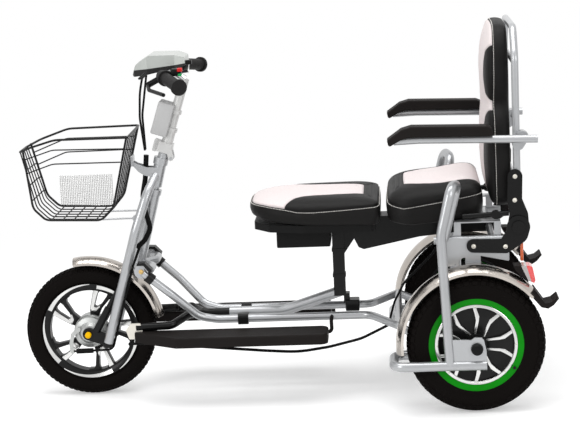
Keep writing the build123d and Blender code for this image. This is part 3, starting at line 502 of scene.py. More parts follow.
def ringed_rim(name):
    """Green enamel rim with a bare silver ring inside it on the outer face, black on the inner face."""
    rim = Finish(name, Specular_IOR_Level=0.12)
    across = rim.axis("X") - REAR_X
    up = rim.axis("Z") - TYRE_R * MM
    radius = (across * across + up * up) ** 0.5
    green = rim.ramp(radius, *GREEN_FROM)
    outer = rim.ramp(abs(rim.axis("Y")), *((TRACK_Y + out) * MM for out in OUTER_FROM))
    cloudy = rim.noise(30.0, 4.0, 0.6)
    enamel = rim.blend(cloudy, (0.0, 0.19, 0.0), (0.0, 0.27, 0.003))
    bare = rim.blend(cloudy, (0.50, 0.50, 0.49), (0.66, 0.66, 0.65))
    rim.colour(rim.blend(outer, (0.006, 0.006, 0.006), rim.blend(green, bare, enamel)))
    rim.feed(rim.shader.inputs["Metallic"], (1 - green) * outer * 0.8)
    rim.rough(0.26 + cloudy * 0.1)
    rim.bump(green + rim.noise(700.0) * 0.05, 0.0006, 0.5)
    return rim.material


def two_tone_shell(name, centre, tilt, drop):
    """Silver moulding over a black underside, split by a tilted plane."""
    shell = Finish(name, Specular_IOR_Level=0.3)
    across = shell.axis("X") - centre.x
    up = shell.axis("Z") - centre.z
    high = shell.ramp(up - across * tilt, drop - DASH_EDGE, drop + DASH_EDGE)
    cloudy = shell.noise(12.0, 3.0)
    silver = shell.blend(cloudy, (0.40, 0.42, 0.40), (0.48, 0.50, 0.48))
    shell.colour(shell.blend(high, (0.006, 0.006, 0.006), silver))
    shell.feed(shell.shader.inputs["Metallic"], high * 0.35)
    shell.rough(0.3 + cloudy * 0.08 - high * 0.06)
    shell.bump(high + shell.cells(800.0) * 0.06, 0.0008, 0.4)
    return shell.material


def tail_lens(name):
    """Tail lamp: smoky ribbed body with a red band along its rear edge; both colours have painted shade in
    the troughs of the ribs.
    """
    lens = Finish(name, Coat_Weight=1.0, Coat_Roughness=0.04)
    across = lens.axis("X") - REAR_X
    up = lens.axis("Z")
    band = lens.ramp(across * -1.0 + (up - LAMP_Z) * BAND_LEAN, *BAND_FROM)
    wave = lens.maths("SINE", (up - across) * 1700.0) * 0.5 + 0.5
    cross = lens.maths("SINE", lens.axis("Y") * 1300.0) * 0.5 + 0.5
    rib_relief_and_shade = wave * 0.6 + cross * 0.4
    # painted shade: the red and the smoky body darken where the ribs dip, and the same rib mask also gives
    # the bumps
    red = lens.blend(rib_relief_and_shade, (0.50, 0.01, 0.012), (0.86, 0.05, 0.05))
    lens.colour(lens.blend(band, lens.blend(rib_relief_and_shade, (0.24, 0.22, 0.21), (0.46, 0.43, 0.42)), red))
    lens.rough(0.1 + rib_relief_and_shade * 0.1)
    lens.bump(rib_relief_and_shade, 0.0008, 0.7)
    return lens.material


# %% One swatch for each finish
SILVER = powder_coat("silver_powder_coat", (0.414, 0.422, 0.433), 0.26, 0.62)
SILVER_PALE = powder_coat("pale_silver_paint", (0.577, 0.577, 0.569), 0.3, 0.25)
STEEL = polished_steel("polished_stainless", (0.561, 0.518, 0.476), 0.12)
CHROME = polished_steel("chrome_plate", (0.8, 0.8, 0.8), 0.06, (1.0, 1.0, 1.0))
ZINC = cast_metal("zinc_casting", (0.5, 0.51, 0.5), 0.34)
BOLT_ZINC = cast_metal("bright_zinc_bolt", (0.74, 0.71, 0.64), 0.26)
BRASS = cast_metal("yellow_passivated_steel", (0.72, 0.5, 0.2), 0.3)
ENAMEL = gloss_black("gloss_black_enamel")
SATIN_BLACK = gloss_black("satin_black_paint", (0.006, 0.006, 0.006), 0.34)
RIM_GREEN = ringed_rim("green_and_silver_rim")
DASH_TWO_TONE = two_tone_shell("two_tone_dash", centre_of("dash"), -0.1, -0.004)
TYRE = rubber("tyre_rubber", (0.0032, 0.0024, 0.0021), 0.6)
BOARD_RUBBER = rubber("board_mat", (0.011, 0.0095, 0.009), 0.5, 900.0, 0.0004, 0.25)
GRIP_RUBBER = rubber("grip_rubber", (0.016, 0.0155, 0.0155), 0.42, 700.0, 0.0004, 0.2)
CABLE_SKIN = rubber("cable_sheath", (0.005, 0.005, 0.005), 0.32, 300.0, 0.0002, 0.1)
BLACK_SHELL = moulded_plastic("black_shell", (0.006, 0.006, 0.006), 0.34)
GREY_SHELL = moulded_plastic("grey_shell", (0.480, 0.480, 0.480), 0.34, 420.0)
TAIL_LENS = tail_lens("tail_lamp_lens")
ORANGE_LENS = lamp_lens("orange_lens", (0.85, 0.13, 0.008), 0.1, 300.0)
CLEAR_LENS = lamp_lens("clear_lens", (0.80, 0.82, 0.82), 0.05, 150.0, 0.2)
BLACK_VINYL = leatherette("black_leatherette", (0.007, 0.0066, 0.0064), 0.36)
SEAT_VINYL = two_tone_leatherette("two_tone_leatherette", (0.007, 0.0066, 0.0064), (0.72, 0.655, 0.65))
THREAD = rubber("white_thread", (0.62, 0.6, 0.57), 0.7, 1800.0, 0.0003, 0.0)
RED_PLASTIC = moulded_plastic("red_button", (0.62, 0.02, 0.02), 0.3)
GREEN_PLASTIC = moulded_plastic("green_button", (0.02, 0.34, 0.10), 0.3)
YELLOW_CAP = moulded_plastic("yellow_cap", (0.86, 0.47, 0.0), 0.36)
print("finishes:", len(bpy.data.materials))

# %% [markdown]
# ## Dress the CAD nodes
# Most CAD nodes already have the right shape, so they only get a finish. The record's material slots say
# which nodes belong together, and a short list names the nodes that differ from their slot.

# %% Finish of every CAD node
BY_SLOT = {
    "tyre": TYRE, "silver_paint": SILVER, "polished_steel": STEEL, "black_paint": ENAMEL,
    "green_paint": RIM_GREEN, "black_rubber": BOARD_RUBBER, "black_leather": BLACK_VINYL,
    "silver_plastic": DASH_TWO_TONE, "black_plastic": BLACK_SHELL, "clear_lens": CLEAR_LENS,
    "red_lens": TAIL_LENS, "orange_lens": ORANGE_LENS,
}
BY_NODE = {
    "seat_post": SATIN_BLACK, "seat_beam": SATIN_BLACK, "tube_clamps": SATIN_BLACK,
    "battery_box": BLACK_SHELL, "meter_box": GREY_SHELL, "front_hub": ZINC, "brake_plate": ZINC,
    "board_brackets": BOLT_ZINC,
    "bar_cables": CABLE_SKIN, "fork_cables": CABLE_SKIN, "frame_cables": CABLE_SKIN, "grips": GRIP_RUBBER,
    "handlebar": CHROME, "front_axle": CHROME, "stem": SILVER_PALE, "fork_links": SATIN_BLACK,
    "rear_axles": BLACK_SHELL, "rear_hub_left": SATIN_BLACK, "rear_hub_right": SATIN_BLACK,
    "front_rim": SATIN_BLACK, "fender_mouldings": BOARD_RUBBER, "armrest_clamps": SILVER,
}


def dress(node, material):
    """Give a CAD node its finish: its material slots change, its mesh doesn't."""
    piece = frame["nodes"][node]
    if not piece.material_slots:
        piece.data.materials.append(material)
    for place in piece.material_slots:
        place.material = material


for part in frame["record"]["subparts"]:
    dress(part["node"], BY_NODE.get(part["node"], BY_SLOT[part["material_slot"]]))

# %% [markdown]
# ## Making shapes
# Three ways cover the rigid pieces. A lathe turns a profile round a wheel's axle, a plate is cut from
# an outline seen from the side, and a pipe follows a smooth curve. What repeats, such as bolts and
# stitches, comes from one Geometry Nodes tree that puts a small mesh on many places.


# %% Mesh helpers
MERGE = 1e-5
SHARP = math.radians(38)


def stack_faces(rings, count):
    """Faces of a stack of rings of count points, with a lid at each end."""
    faces = []
    for r in range(rings - 1):
        for i in range(count):
            j = (i + 1) % count
            faces.append((r * count + i, r * count + j, (r + 1) * count + j, (r + 1) * count + i))
    return faces + [tuple(reversed(range(count))), tuple((rings - 1) * count + i for i in range(count))]


def new_piece(name, points, faces, material, smooth=True):
    """Object with a plain mesh, given in scene places."""
    mesh = bpy.data.meshes.new(name)
    mesh.from_pydata([tuple(p) for p in points], [], faces)
    mesh.materials.append(material)
    piece = show(name, mesh)
    close_up(piece, smooth)
    return piece


def close_up(piece, smooth=True):
    """Merge doubled points, point every face outwards and set the shading."""
    work = bmesh.new()
    work.from_mesh(piece.data)
    bmesh.ops.remove_doubles(work, verts=work.verts, dist=MERGE)
    bmesh.ops.recalc_face_normals(work, faces=work.faces)
    for face in work.faces:
        face.smooth = smooth
    if smooth:
        for edge in work.edges:
            if len(edge.link_faces) == 2 and edge.calc_face_angle(0.0) > SHARP:
                edge.smooth = False
    work.to_mesh(piece.data)
    work.free()


def settle(piece):
    """Turn what the modifiers make into a plain mesh."""
    graph = bpy.context.evaluated_depsgraph_get()
    graph.update()
    mesh = bpy.data.meshes.new_from_object(piece.evaluated_get(graph), depsgraph=graph)
    piece.modifiers.clear()
    piece.data = mesh
    return piece


def ride(piece, body):
    """A finished piece: it moves with a body."""
    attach(piece, body)
    return piece


# %% Lathe, plate and pipe
def lathe(name, profile, axle, material, segments=96, arc=(0.0, 360.0)):
    """Turn (radius, y) millimetres round a wheel axle; an arc that isn't full gets flat ends."""
    start, end = arc
    full = abs(end - start) >= 359.9
    count = segments if full else segments + 1
    points = []
    for i in range(count):
        turn = math.radians(start + (end - start) * i / segments)
        for radius, y in profile:
            points.append(Vector((axle.x + radius * MM * math.cos(turn), axle.y + y * MM,
                                  axle.z + radius * MM * math.sin(turn))))
    n = len(profile)
    faces = []
    for i in range(segments):
        a, b = i * n, ((i + 1) % count) * n
        for k in range(n):
            j = (k + 1) % n
            faces.append((a + k, a + j, b + j, b + k))
    if not full:
        faces.append(tuple(range(n)))
        faces.append(tuple(segments * n + k for k in range(n)))
    return new_piece(name, points, faces, material)


def plate_mesh(outlines, y0, y1):
    """Points and faces of flat plates: outlines of (x, z) scene metres between two y."""
    points, faces = [], []
    for outline in outlines:
        n, first = len(outline), len(points)
        points += [(x, y0, z) for x, z in outline] + [(x, y1, z) for x, z in outline]
        faces.append(tuple(first + i for i in range(n)))
        faces.append(tuple(first + n + i for i in reversed(range(n))))
        faces += [(first + i, first + (i + 1) % n, first + n + (i + 1) % n, first + n + i)
                  for i in range(n)]
    return points, faces


def plates(name, outlines, y0, y1, material, bevel=0.0):
    """Flat plates with their rims bevelled."""
    piece = new_piece(name, *plate_mesh(outlines, y0, y1), material, False)
    if bevel:
        soft = piece.modifiers.new("bevel", "BEVEL")
        soft.width = bevel
        soft.segments = 2
        soft.limit_method = "ANGLE"
        settle(piece)
        close_up(piece)
    return piece


def pipes(name, routes, radius, material, sides=10, smooth=True):
    """Round bars along drawn points: curves that round each point, or straight runs."""
    curve = bpy.data.curves.new(name, "CURVE")
    curve.dimensions = "3D"
    curve.bevel_depth = radius * MM
    curve.bevel_resolution = max(0, sides // 4 - 1)
    curve.use_fill_caps = True
    for route in routes:
        curved = smooth and len(route) > 2
        line = curve.splines.new("NURBS" if curved else "POLY")
        line.points.add(len(route) - 1)
        for point, place in zip(line.points, route):
            point.co = (*at(*place), 1.0)
        if curved:
            line.order_u = 3
            line.use_endpoint_u = True
            line.resolution_u = 6
    holder = show(name, curve)
    graph = bpy.context.evaluated_depsgraph_get()
    mesh = bpy.data.meshes.new_from_object(holder.evaluated_get(graph), depsgraph=graph)
    bpy.data.objects.remove(holder)
    mesh.materials.clear()
    mesh.materials.append(material)
    piece = show(name, mesh)
    close_up(piece)
    return piece


print("shape helpers ready")

# %% [markdown]
# ## One tree that places small meshes
# Each point of a carrier mesh holds a turn and a size. The tree puts the small mesh there, realizes
# the copies and gives them a finish. The result becomes a plain mesh, because copies don't export.


# %% Copies by Geometry Nodes
def copies_tree(name):
    """Instance on Points, turned and sized by attributes, then realized and dressed."""
    tree = bpy.data.node_groups.new(name, "GeometryNodeTree")
    face = tree.interface
    face.new_socket("Geometry", in_out="INPUT", socket_type="NodeSocketGeometry")
    face.new_socket("Small Mesh", in_out="INPUT", socket_type="NodeSocketObject")
    size = face.new_socket("Size", in_out="INPUT", socket_type="NodeSocketFloat")
    size.default_value = 1.0
    face.new_socket("Finish", in_out="INPUT", socket_type="NodeSocketMaterial")
    face.new_socket("Geometry", in_out="OUTPUT", socket_type="NodeSocketGeometry")

    def node(kind, **settings):
        made = tree.nodes.new(kind)
        for key, value in settings.items():
            setattr(made, key, value)
        return made

    given = node("NodeGroupInput")
    result = node("NodeGroupOutput")
    small = node("GeometryNodeObjectInfo", transform_space="ORIGINAL")
    turn = node("GeometryNodeInputNamedAttribute", data_type="FLOAT_VECTOR")
    turn.inputs["Name"].default_value = "turn"
    scale = node("GeometryNodeInputNamedAttribute", data_type="FLOAT")
    scale.inputs["Name"].default_value = "size"
    times = node("ShaderNodeMath", operation="MULTIPLY")
    place = node("GeometryNodeInstanceOnPoints")
    real = node("GeometryNodeRealizeInstances")
    dressed = node("GeometryNodeSetMaterial")
    join = tree.links.new
    join(given.outputs["Geometry"], place.inputs["Points"])
    join(given.outputs["Small Mesh"], small.inputs["Object"])
    join(small.outputs["Geometry"], place.inputs["Instance"])
    join(turn.outputs["Attribute"], place.inputs["Rotation"])
    join(scale.outputs["Attribute"], times.inputs[0])
    join(given.outputs["Size"], times.inputs[1])
    join(times.outputs[0], place.inputs["Scale"])
    join(place.outputs["Instances"], real.inputs["Geometry"])
    join(real.outputs["Geometry"], dressed.inputs["Geometry"])
    join(given.outputs["Finish"], dressed.inputs["Material"])
    join(dressed.outputs["Geometry"], result.inputs["Geometry"])
    return tree


COPIES = copies_tree("place_copies")
SOCKET = {item.name: item.identifier for item in COPIES.interface.items_tree if item.in_out == "INPUT"}


def copies(name, small, places, material, size=1.0):
    """Copies of a small mesh: places are (point, direction of its Z, direction of its X or None, size)."""
    mesh = bpy.data.meshes.new(name)
    mesh.from_pydata([tuple(p[0]) for p in places], [], [])
    mesh.attributes.new("turn", "FLOAT_VECTOR", "POINT")
    mesh.attributes.new("size", "FLOAT", "POINT")
    # a new attribute can move the ones made before it, so both are looked up afterwards
    turn, scale = mesh.attributes["turn"], mesh.attributes["size"]
    for i, (_, up, along, factor) in enumerate(places):
        z = Vector(up).normalized()
        x = Vector(along) if along else (Vector((1, 0, 0)) if abs(z.x) < 0.8 else Vector((0, 0, 1)))
        y = z.cross(x).normalized()
        x = y.cross(z)
        turn.data[i].vector = Matrix((x, y, z)).transposed().to_euler()
        scale.data[i].value = factor
    piece = show(name, mesh)
    nodes = piece.modifiers.new("copies", "NODES")
    nodes.node_group = COPIES
    nodes[SOCKET["Small Mesh"]] = small
    nodes[SOCKET["Size"]] = size
    nodes[SOCKET["Finish"]] = material
    settle(piece)
    close_up(piece)
    return piece


def small_mesh(name, profile, sides):
    """Little turned part along +Z, about 1 in radius, that only the copies show: (radius, height) pairs."""
    turns = [math.tau * i / sides for i in range(sides)]
    points = [(radius * math.cos(turn), radius * math.sin(turn), height)
              for radius, height in profile for turn in turns]
    mesh = bpy.data.meshes.new(name)
    mesh.from_pydata(points, [], stack_faces(len(profile), sides))
    return bpy.data.objects.new(name, mesh)


DOME_BOLT = small_mesh("dome_bolt", [(1.3, -0.05), (1.3, 0.12), (1.0, 0.16), (0.98, 0.45), (0.75, 0.7),
                                     (0.42, 0.8), (0.4, 0.5)], 14)
STITCH = small_mesh("stitch", [(0.12, -0.5), (0.26, -0.36), (0.3, 0.0), (0.26, 0.36), (0.12, 0.5)], 6)
print("copies tree inputs:", list(SOCKET))

# %% [markdown]
# ## Seat cushions and backrest
# Each cushion is foam in a sewn cover: a pale insert between two black bolsters, a black side panel
# and a white stitched seam between top and side. A box with rounded edges would look hard, so the
# cover starts as a slightly thin closed form, is remeshed evenly, is held along its seams and is then
# blown up a little by Cloth with pressure. The seams press in afterwards, as thread does.

# %% Outlines and distances
VOXEL = 0.005
INFLATE = 4.0
SWELL_CAP = 0.007
CLOTH_FRAMES = 20
# rings of a cover, as shares of its outline: underneath, then from the seam up to the crown
UNDER_RINGS = (0.3, 0.62, 0.88)
CROWN_RINGS = (0.985, 0.955, 0.91, 0.85, 0.76, 0.62, 0.42, 0.2)
# millimetres: held beside a seam and above the underside; where the top starts over the side seam, and
# the distance given to what isn't on the top; depth and width of a pressed side seam and sewn line
HELD_BESIDE, HELD_ABOVE = 3.5, 4.0
TOP_ABOVE, FAR_OFF = 2.0, 99.0
SIDE_DEPTH, SIDE_WIDTH = 2.6, 2.6
LINE_DEPTH, LINE_WIDTH = 2.2, 2.4


def rounded(corners, radius, step=8.0):
    """Closed outline with round corners, points about step millimetres apart."""
    smooth = []
    count = len(corners)
    for i in range(count):
        before, here, after = (Vector(corners[(i + k) % count]) for k in (-1, 0, 1))
        reach = min(radius, 0.45 * (before - here).length, 0.45 * (after - here).length)
        a = here + (before - here).normalized() * reach
        b = here + (after - here).normalized() * reach
        for k in range(7):
            t = k / 6
            smooth.append(a * (1 - t) ** 2 + here * 2 * t * (1 - t) + b * t * t)
    outline = []
    for i, here in enumerate(smooth):
        after = smooth[(i + 1) % len(smooth)]
        pieces = max(1, round((after - here).length / step))
        outline += [here.lerp(after, k / pieces) for k in range(pieces)]
    return [(p.x, p.y) for p in outline]


def signed_distance(u, v, outline):
    """Distance of many points to a closed outline, positive inside."""
    corners = np.array(outline)
    ends = np.roll(corners, -1, axis=0)
    best = np.full(len(u), 1e9)
    inside = np.zeros(len(u), bool)
    for (ax, ay), (bx, by) in zip(corners, ends):
        dx, dy = bx - ax, by - ay
        t = np.clip(((u - ax) * dx + (v - ay) * dy) / max(dx * dx + dy * dy, 1e-12), 0, 1)
        best = np.minimum(best, np.hypot(u - ax - t * dx, v - ay - t * dy))
        crosses = (ay > v) != (by > v)
        inside ^= crosses & (u < (bx - ax) * (v - ay) / (by - ay + 1e-12) + ax)
    return np.where(inside, best, -best)


def mirrored(side):
    """Close a one-sided outline of (along, across) with its mirror image."""
    return side + [(x, -y) for x, y in reversed(side)]


print("outline helpers ready")


# %% A stuffed cover
def stuffed(name, outline, low, seam, crown, insert, body, node, place, extra_seams=(), full=3.0,
            bulge=3.0):
    """Crowned closed form over an outline; low, seam and crown give its heights in millimetres."""
    middle = np.mean(np.array(outline), axis=0)
    rings = []
    for scale in UNDER_RINGS:
        rings.append([(middle[0] + (u - middle[0]) * scale, middle[1] + (v - middle[1]) * scale, low(u))
                      for u, v in outline])
    for t, inset in ((0.0, 7.0), (0.06, 2.5), (0.2, 0.0), (0.5, -bulge), (0.8, -0.4 * bulge), (1.0, 1.0)):
        ring = []
        for u, v in outline:
            away = math.hypot(u - middle[0], v - middle[1])
            k = (away - inset) / away
            ring.append((middle[0] + (u - middle[0]) * k, middle[1] + (v - middle[1]) * k,
                         low(u) + t * (seam(u) - low(u))))
        rings.append(ring)
    for scale in CROWN_RINGS:
        ring = []
        for u, v in outline:
            x, y = middle[0] + (u - middle[0]) * scale, middle[1] + (v - middle[1]) * scale
            ring.append((x, y, seam(u) + (crown(x) - seam(u)) * (1 - scale ** (2 * full)) ** 0.6))
        rings.append(ring)
    points = [place(*p) for ring in rings for p in ring]
    cover = new_piece(name, points, stack_faces(len(rings), len(outline)), SEAT_VINYL)
    grid = cover.modifiers.new("voxels", "REMESH")
    grid.mode = "VOXEL"
    grid.voxel_size = VOXEL
    grid.use_smooth_shade = True
    settle(cover)
    sewn = [insert] + list(extra_seams)
    inflate(cover, place.back, low, seam, sewn)
    finer = cover.modifiers.new("finer", "SUBSURF")
    finer.levels = finer.render_levels = 1
    settle(cover)
    cover.data.materials.clear()
    cover.data.materials.append(SEAT_VINYL)
    sew(cover, place.back, seam, sewn, insert)
    ride(cover, body)
    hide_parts(node)
    print(name, len(cover.data.vertices), "points")
    return cover


def read_points(cover):
    """All points of a mesh as an array."""
    flat = np.empty(3 * len(cover.data.vertices))
    cover.data.vertices.foreach_get("co", flat)
    return flat.reshape(-1, 3)


def write_points(cover, points):
    """Move all points of a mesh to the places in an array."""
    cover.data.vertices.foreach_set("co", points.ravel())
    cover.data.update()


def seam_values(points, back, seam, sewn):
    """Cushion coordinates of each point, its height over the side seam and its distance to a sewn line."""
    u, v, h = back(points)
    line = seam(u)
    top = h > line + TOP_ABOVE
    across = [np.where(top, np.abs(signed_distance(u, v, s)), FAR_OFF) for s in sewn]
    return u, v, h, h - line, np.minimum.reduce(across)


def inflate(cover, back, low, seam, sewn):
    """Cloth with pressure, held along the seams and underneath, with its movement capped."""
    start = read_points(cover)
    u, _, h, over, across = seam_values(start, back, seam, sewn)
    held = cover.vertex_groups.new(name="held")
    beside = (np.abs(over) < HELD_BESIDE) | (across < HELD_BESIDE)
    fixed = np.where(beside | (h < low(u) + HELD_ABOVE))[0]
    held.add([int(i) for i in fixed], 1.0, "REPLACE")
    cloth = cover.modifiers.new("cover", "CLOTH")
    cloth.settings.quality = 4
    cloth.settings.mass = 0.3
    cloth.settings.tension_stiffness = cloth.settings.compression_stiffness = 12.0
    cloth.settings.bending_stiffness = 0.4
    cloth.settings.use_pressure = True
    cloth.settings.uniform_pressure_force = INFLATE
    cloth.settings.effector_weights.gravity = 0.0
    cloth.settings.vertex_group_mass = "held"
    cloth.collision_settings.use_collision = False
    cloth.point_cache.frame_start, cloth.point_cache.frame_end = 1, CLOTH_FRAMES
    for number in range(1, CLOTH_FRAMES + 1):
        bpy.context.scene.frame_set(number)
    settle(cover)
    moved = read_points(cover) - start
    far = np.linalg.norm(moved, axis=1)
    share = np.minimum(1.0, SWELL_CAP / np.maximum(far, 1e-9))
    write_points(cover, start + moved * share[:, None])
    cover.vertex_groups.clear()
    bpy.context.scene.frame_set(1)
    print(cover.name, "swelled up to", round(float((far * share).max() / MM), 1), "mm")


def sew(cover, back, seam, sewn, insert):
    """Press the seams in and store what the leatherette reads: the insert's edge and the pressed seams,
    which get painted shade.
    """
    points = read_points(cover)
    u, v, _, over, across = seam_values(points, back, seam, sewn)
    flat = np.empty(3 * len(cover.data.vertices))
    cover.data.vertex_normals.foreach_get("vector", flat)
    normal = flat.reshape(-1, 3)
    side = np.exp(-(over / SIDE_WIDTH) ** 2)
    line = np.exp(-(across / LINE_WIDTH) ** 2)
    press = SIDE_DEPTH * side + LINE_DEPTH * line
    write_points(cover, points - normal * (press * MM)[:, None])
    inside = np.minimum(signed_distance(u, v, insert), over) * MM
    # the second value marks the pressed seams, where the leatherette paints shade into the colour
    for label, values in (("insert_edge", inside), ("groove_shade", np.clip(side + line, 0, 1))):
        store = cover.data.attributes.new(label, "FLOAT", "POINT")
        store.data.foreach_set("value", values.astype(np.float32))


# %% Directions of a cushion and of the backrest
def steps(*pairs):
    """Height that runs through (x, height) pairs, for one x or many."""
    xs, hs = zip(*sorted(pairs))
    return lambda x: np.interp(x, xs, hs)


def lying(u, v, h):
    """Seat cushion: along is X, across is Y, height is Z."""
    return at(u, v, float(h))


def lying_back(points):
    """Cushion coordinates of scene places."""
    return (points[:, 0] - REAR_X) / MM, points[:, 1] / MM, points[:, 2] / MM


def standing(u, v, h):
    """Backrest: along is Z, across is Y, height is X."""
    return at(float(h), v, u)


def standing_back(points):
    """Backrest coordinates of scene places."""
    return points[:, 2] / MM, points[:, 1] / MM, (points[:, 0] - REAR_X) / MM


lying.back = lying_back
standing.back = standing_back
print("cushion directions ready")

# %% Front cushion
FRONT_PLAN = rounded(mirrored([(239, 160), (300, 163), (430, 161), (500, 148), (548, 126), (580, 84),
                               (587, 40)]), 34)
FRONT_INSERT = mirrored([(281, 70), (321, 76), (374, 80), (419, 84), (441, 90), (463, 104), (477, 126),
                         (490, 148), (505, 178), (640, 178)])
FRONT_LOW = steps((243, 479), (419, 482), (524, 490), (550, 495), (589, 502))
FRONT_SEAM = steps((232, 536), (246, 532), (338, 526), (417, 522), (456, 523), (491, 530), (548, 537),
                   (589, 538))
FRONT_CROWN = steps((239, 549), (300, 553), (450, 553), (540, 549), (589, 543))
FRONT_CROSS_SEAM = rounded([(272, -72), (272, 72), (258, 110), (258, -110)], 4)
front_cover = stuffed("front_seat_cover", FRONT_PLAN, FRONT_LOW, FRONT_SEAM, FRONT_CROWN, FRONT_INSERT,
                      "frame", "front_cushion", lying, [FRONT_CROSS_SEAM])

# %% Rear cushion
REAR_PLAN = rounded(mirrored([(-31, 182), (60, 187), (180, 186), (217, 150), (219, 60)]), 34)
REAR_INSERT = mirrored([(-80, 132), (22, 130), (66, 128), (100, 121), (131, 110), (173, 86), (174, 30)])
REAR_LOW = steps((221, 486), (156, 480), (26, 491), (-33, 502))
REAR_SEAM = steps((221, 540), (206, 534), (176, 529), (141, 534), (89, 542), (24, 553), (-33, 563))
REAR_CROWN = steps((221, 570), (173, 578), (81, 585), (22, 594), (-33, 598))
REAR_CROSS_SEAM = rounded([(184, -88), (184, 88), (198, 120), (198, -120)], 4)
rear_cover = stuffed("rear_seat_cover", REAR_PLAN, REAR_LOW, REAR_SEAM, REAR_CROWN, REAR_INSERT,
                     "frame", "rear_cushion", lying, [REAR_CROSS_SEAM])

# %% Backrest
BACK_PLAN = rounded(mirrored([(523, 178), (600, 187), (700, 187), (752, 182), (788, 152), (800, 152),
                              (850, 168), (930, 160), (985, 122), (994, 60)]), 30)
BACK_INSERT = mirrored([(400, 112), (560, 110), (680, 108), (730, 112), (757, 126), (772, 150), (778, 176),
                        (790, 176), (796, 152), (812, 122), (850, 110), (895, 112), (925, 124), (942, 150),
                        (948, 178), (1050, 178)])
BACK_LOW = steps((521, -105), (996, -105))
BACK_SEAM = steps((521, -64), (770, -62), (996, -66))
BACK_CROWN = steps((521, -43), (640, -38), (720, -40), (791, -46), (860, -40), (930, -42), (996, -56))
back_cover = stuffed("backrest_cover", BACK_PLAN, BACK_LOW, BACK_SEAM, BACK_CROWN, BACK_INSERT,
                     "backrest", "backrest_cushion", standing, full=3.4, bulge=2.0)

# %% [markdown]
# ## White stitches
# A lockstitch shows as short threads of even length, end to end. They follow the seam's height round
# the cover, sit on its surface, and are one small mesh copied by the tree.

# %% Seam stitches
STITCH_PITCH = 4.4
STITCH_DROP = 3.6
STITCH_LIFT = 0.35


def stitches(name, cover, plan, seam, place, body):
    """Threads round a cover, a little below its side seam."""
    surface = BVHTree.FromObject(cover, bpy.context.evaluated_depsgraph_get())
    trail = []
    for u, v in rounded(plan, 2, 3):
        spot, normal, _, _ = surface.find_nearest(place(u, v, float(seam(u) - STITCH_DROP)))
        trail.append((spot + normal * STITCH_LIFT * MM, normal))
    trail.append(trail[0])
    places = []
    left = 0.0
    for (a, normal), (b, _) in zip(trail, trail[1:]):
        run = (b - a).length / MM
        while left < run:
            places.append((a.lerp(b, left / run), b - a, normal, 1.0))
            left += STITCH_PITCH
        left -= run
    made = copies(name, STITCH, places, THREAD, 2.8 * MM)
    return ride(made, body)


stitches("front_seat_stitches", front_cover, FRONT_PLAN, FRONT_SEAM, lying, "frame")
stitches("rear_seat_stitches", rear_cover, REAR_PLAN, REAR_SEAM, lying, "frame")
stitches("backrest_stitches", back_cover, BACK_PLAN, BACK_SEAM, standing, "backrest")
print("stitches sewn")

# %% [markdown]
# ## Tyres
# A tyre is a smooth casing with rubber blocks on it. The casing is a lathe profile. The blocks have
# drafted sides, and the tree copies them round the wheel in rows, the flank row turned half a pitch.


# %% Tyre makers
def block_mesh(name, length, width, height):
    """Tread block along +Z with drafted sides."""
    a, b, c, d = length * MM / 2, width * MM / 2, 0.8 * length * MM / 2, 0.8 * width * MM / 2
    low, high = -1.5 * MM, height * MM
    points = [(-a, -b, low), (a, -b, low), (a, b, low), (-a, b, low), (-c, -d, high), (c, -d, high),
              (c, d, high), (-c, d, high)]
    faces = [(3, 2, 1, 0), (4, 5, 6, 7), (0, 1, 5, 4), (1, 2, 6, 5), (2, 3, 7, 6), (3, 0, 4, 7)]
    mesh = bpy.data.meshes.new(name)
    mesh.from_pydata(points, [], faces)
    return bpy.data.objects.new(name, mesh)


def block_row(axle, radius, y, tilt, count, half_pitch):
    """Places of one row of blocks, mirrored to both sides of the tyre unless it is in the middle."""
    places = []
    for side in ((1, -1) if y else (1,)):
        for i in range(count):
            turn = math.tau * (i + (0.5 if half_pitch else 0.0)) / count
            out = Vector((math.cos(turn), 0, math.sin(turn)))
            along = Vector((-math.sin(turn), 0, math.cos(turn)))
            up = out * math.cos(tilt) + Vector((0, side, 0)) * math.sin(tilt)
            spot = axle + out * radius * MM + Vector((0, side * y * MM, 0))
            places.append((spot, up, along, 1.0))
    return places


def dressed_tyre(name, axle, profile, rows, body, node):
    """Casing and rows of blocks, joined into one piece that stands for the CAD tyre."""
    half = profile + [(r, -y) for r, y in reversed(profile) if y]
    casing = lathe(name, half, axle, TYRE, 144)
    for number, (small, radius, y, tilt, count, half_pitch) in enumerate(rows):
        places = block_row(axle, radius, y, math.radians(tilt), count, half_pitch)
        blocks = copies("%s_row_%d" % (name, number), small, places, TYRE)
        work = bmesh.new()
        work.from_mesh(casing.data)
        work.from_mesh(blocks.data)
        work.to_mesh(casing.data)
        work.free()
        bpy.data.objects.remove(blocks)
    for polygon in casing.data.polygons:
        polygon.use_smooth = True
    casing.data.set_sharp_from_angle(angle=math.radians(34))
    ride(casing, body)
    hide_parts(node)
    return casing


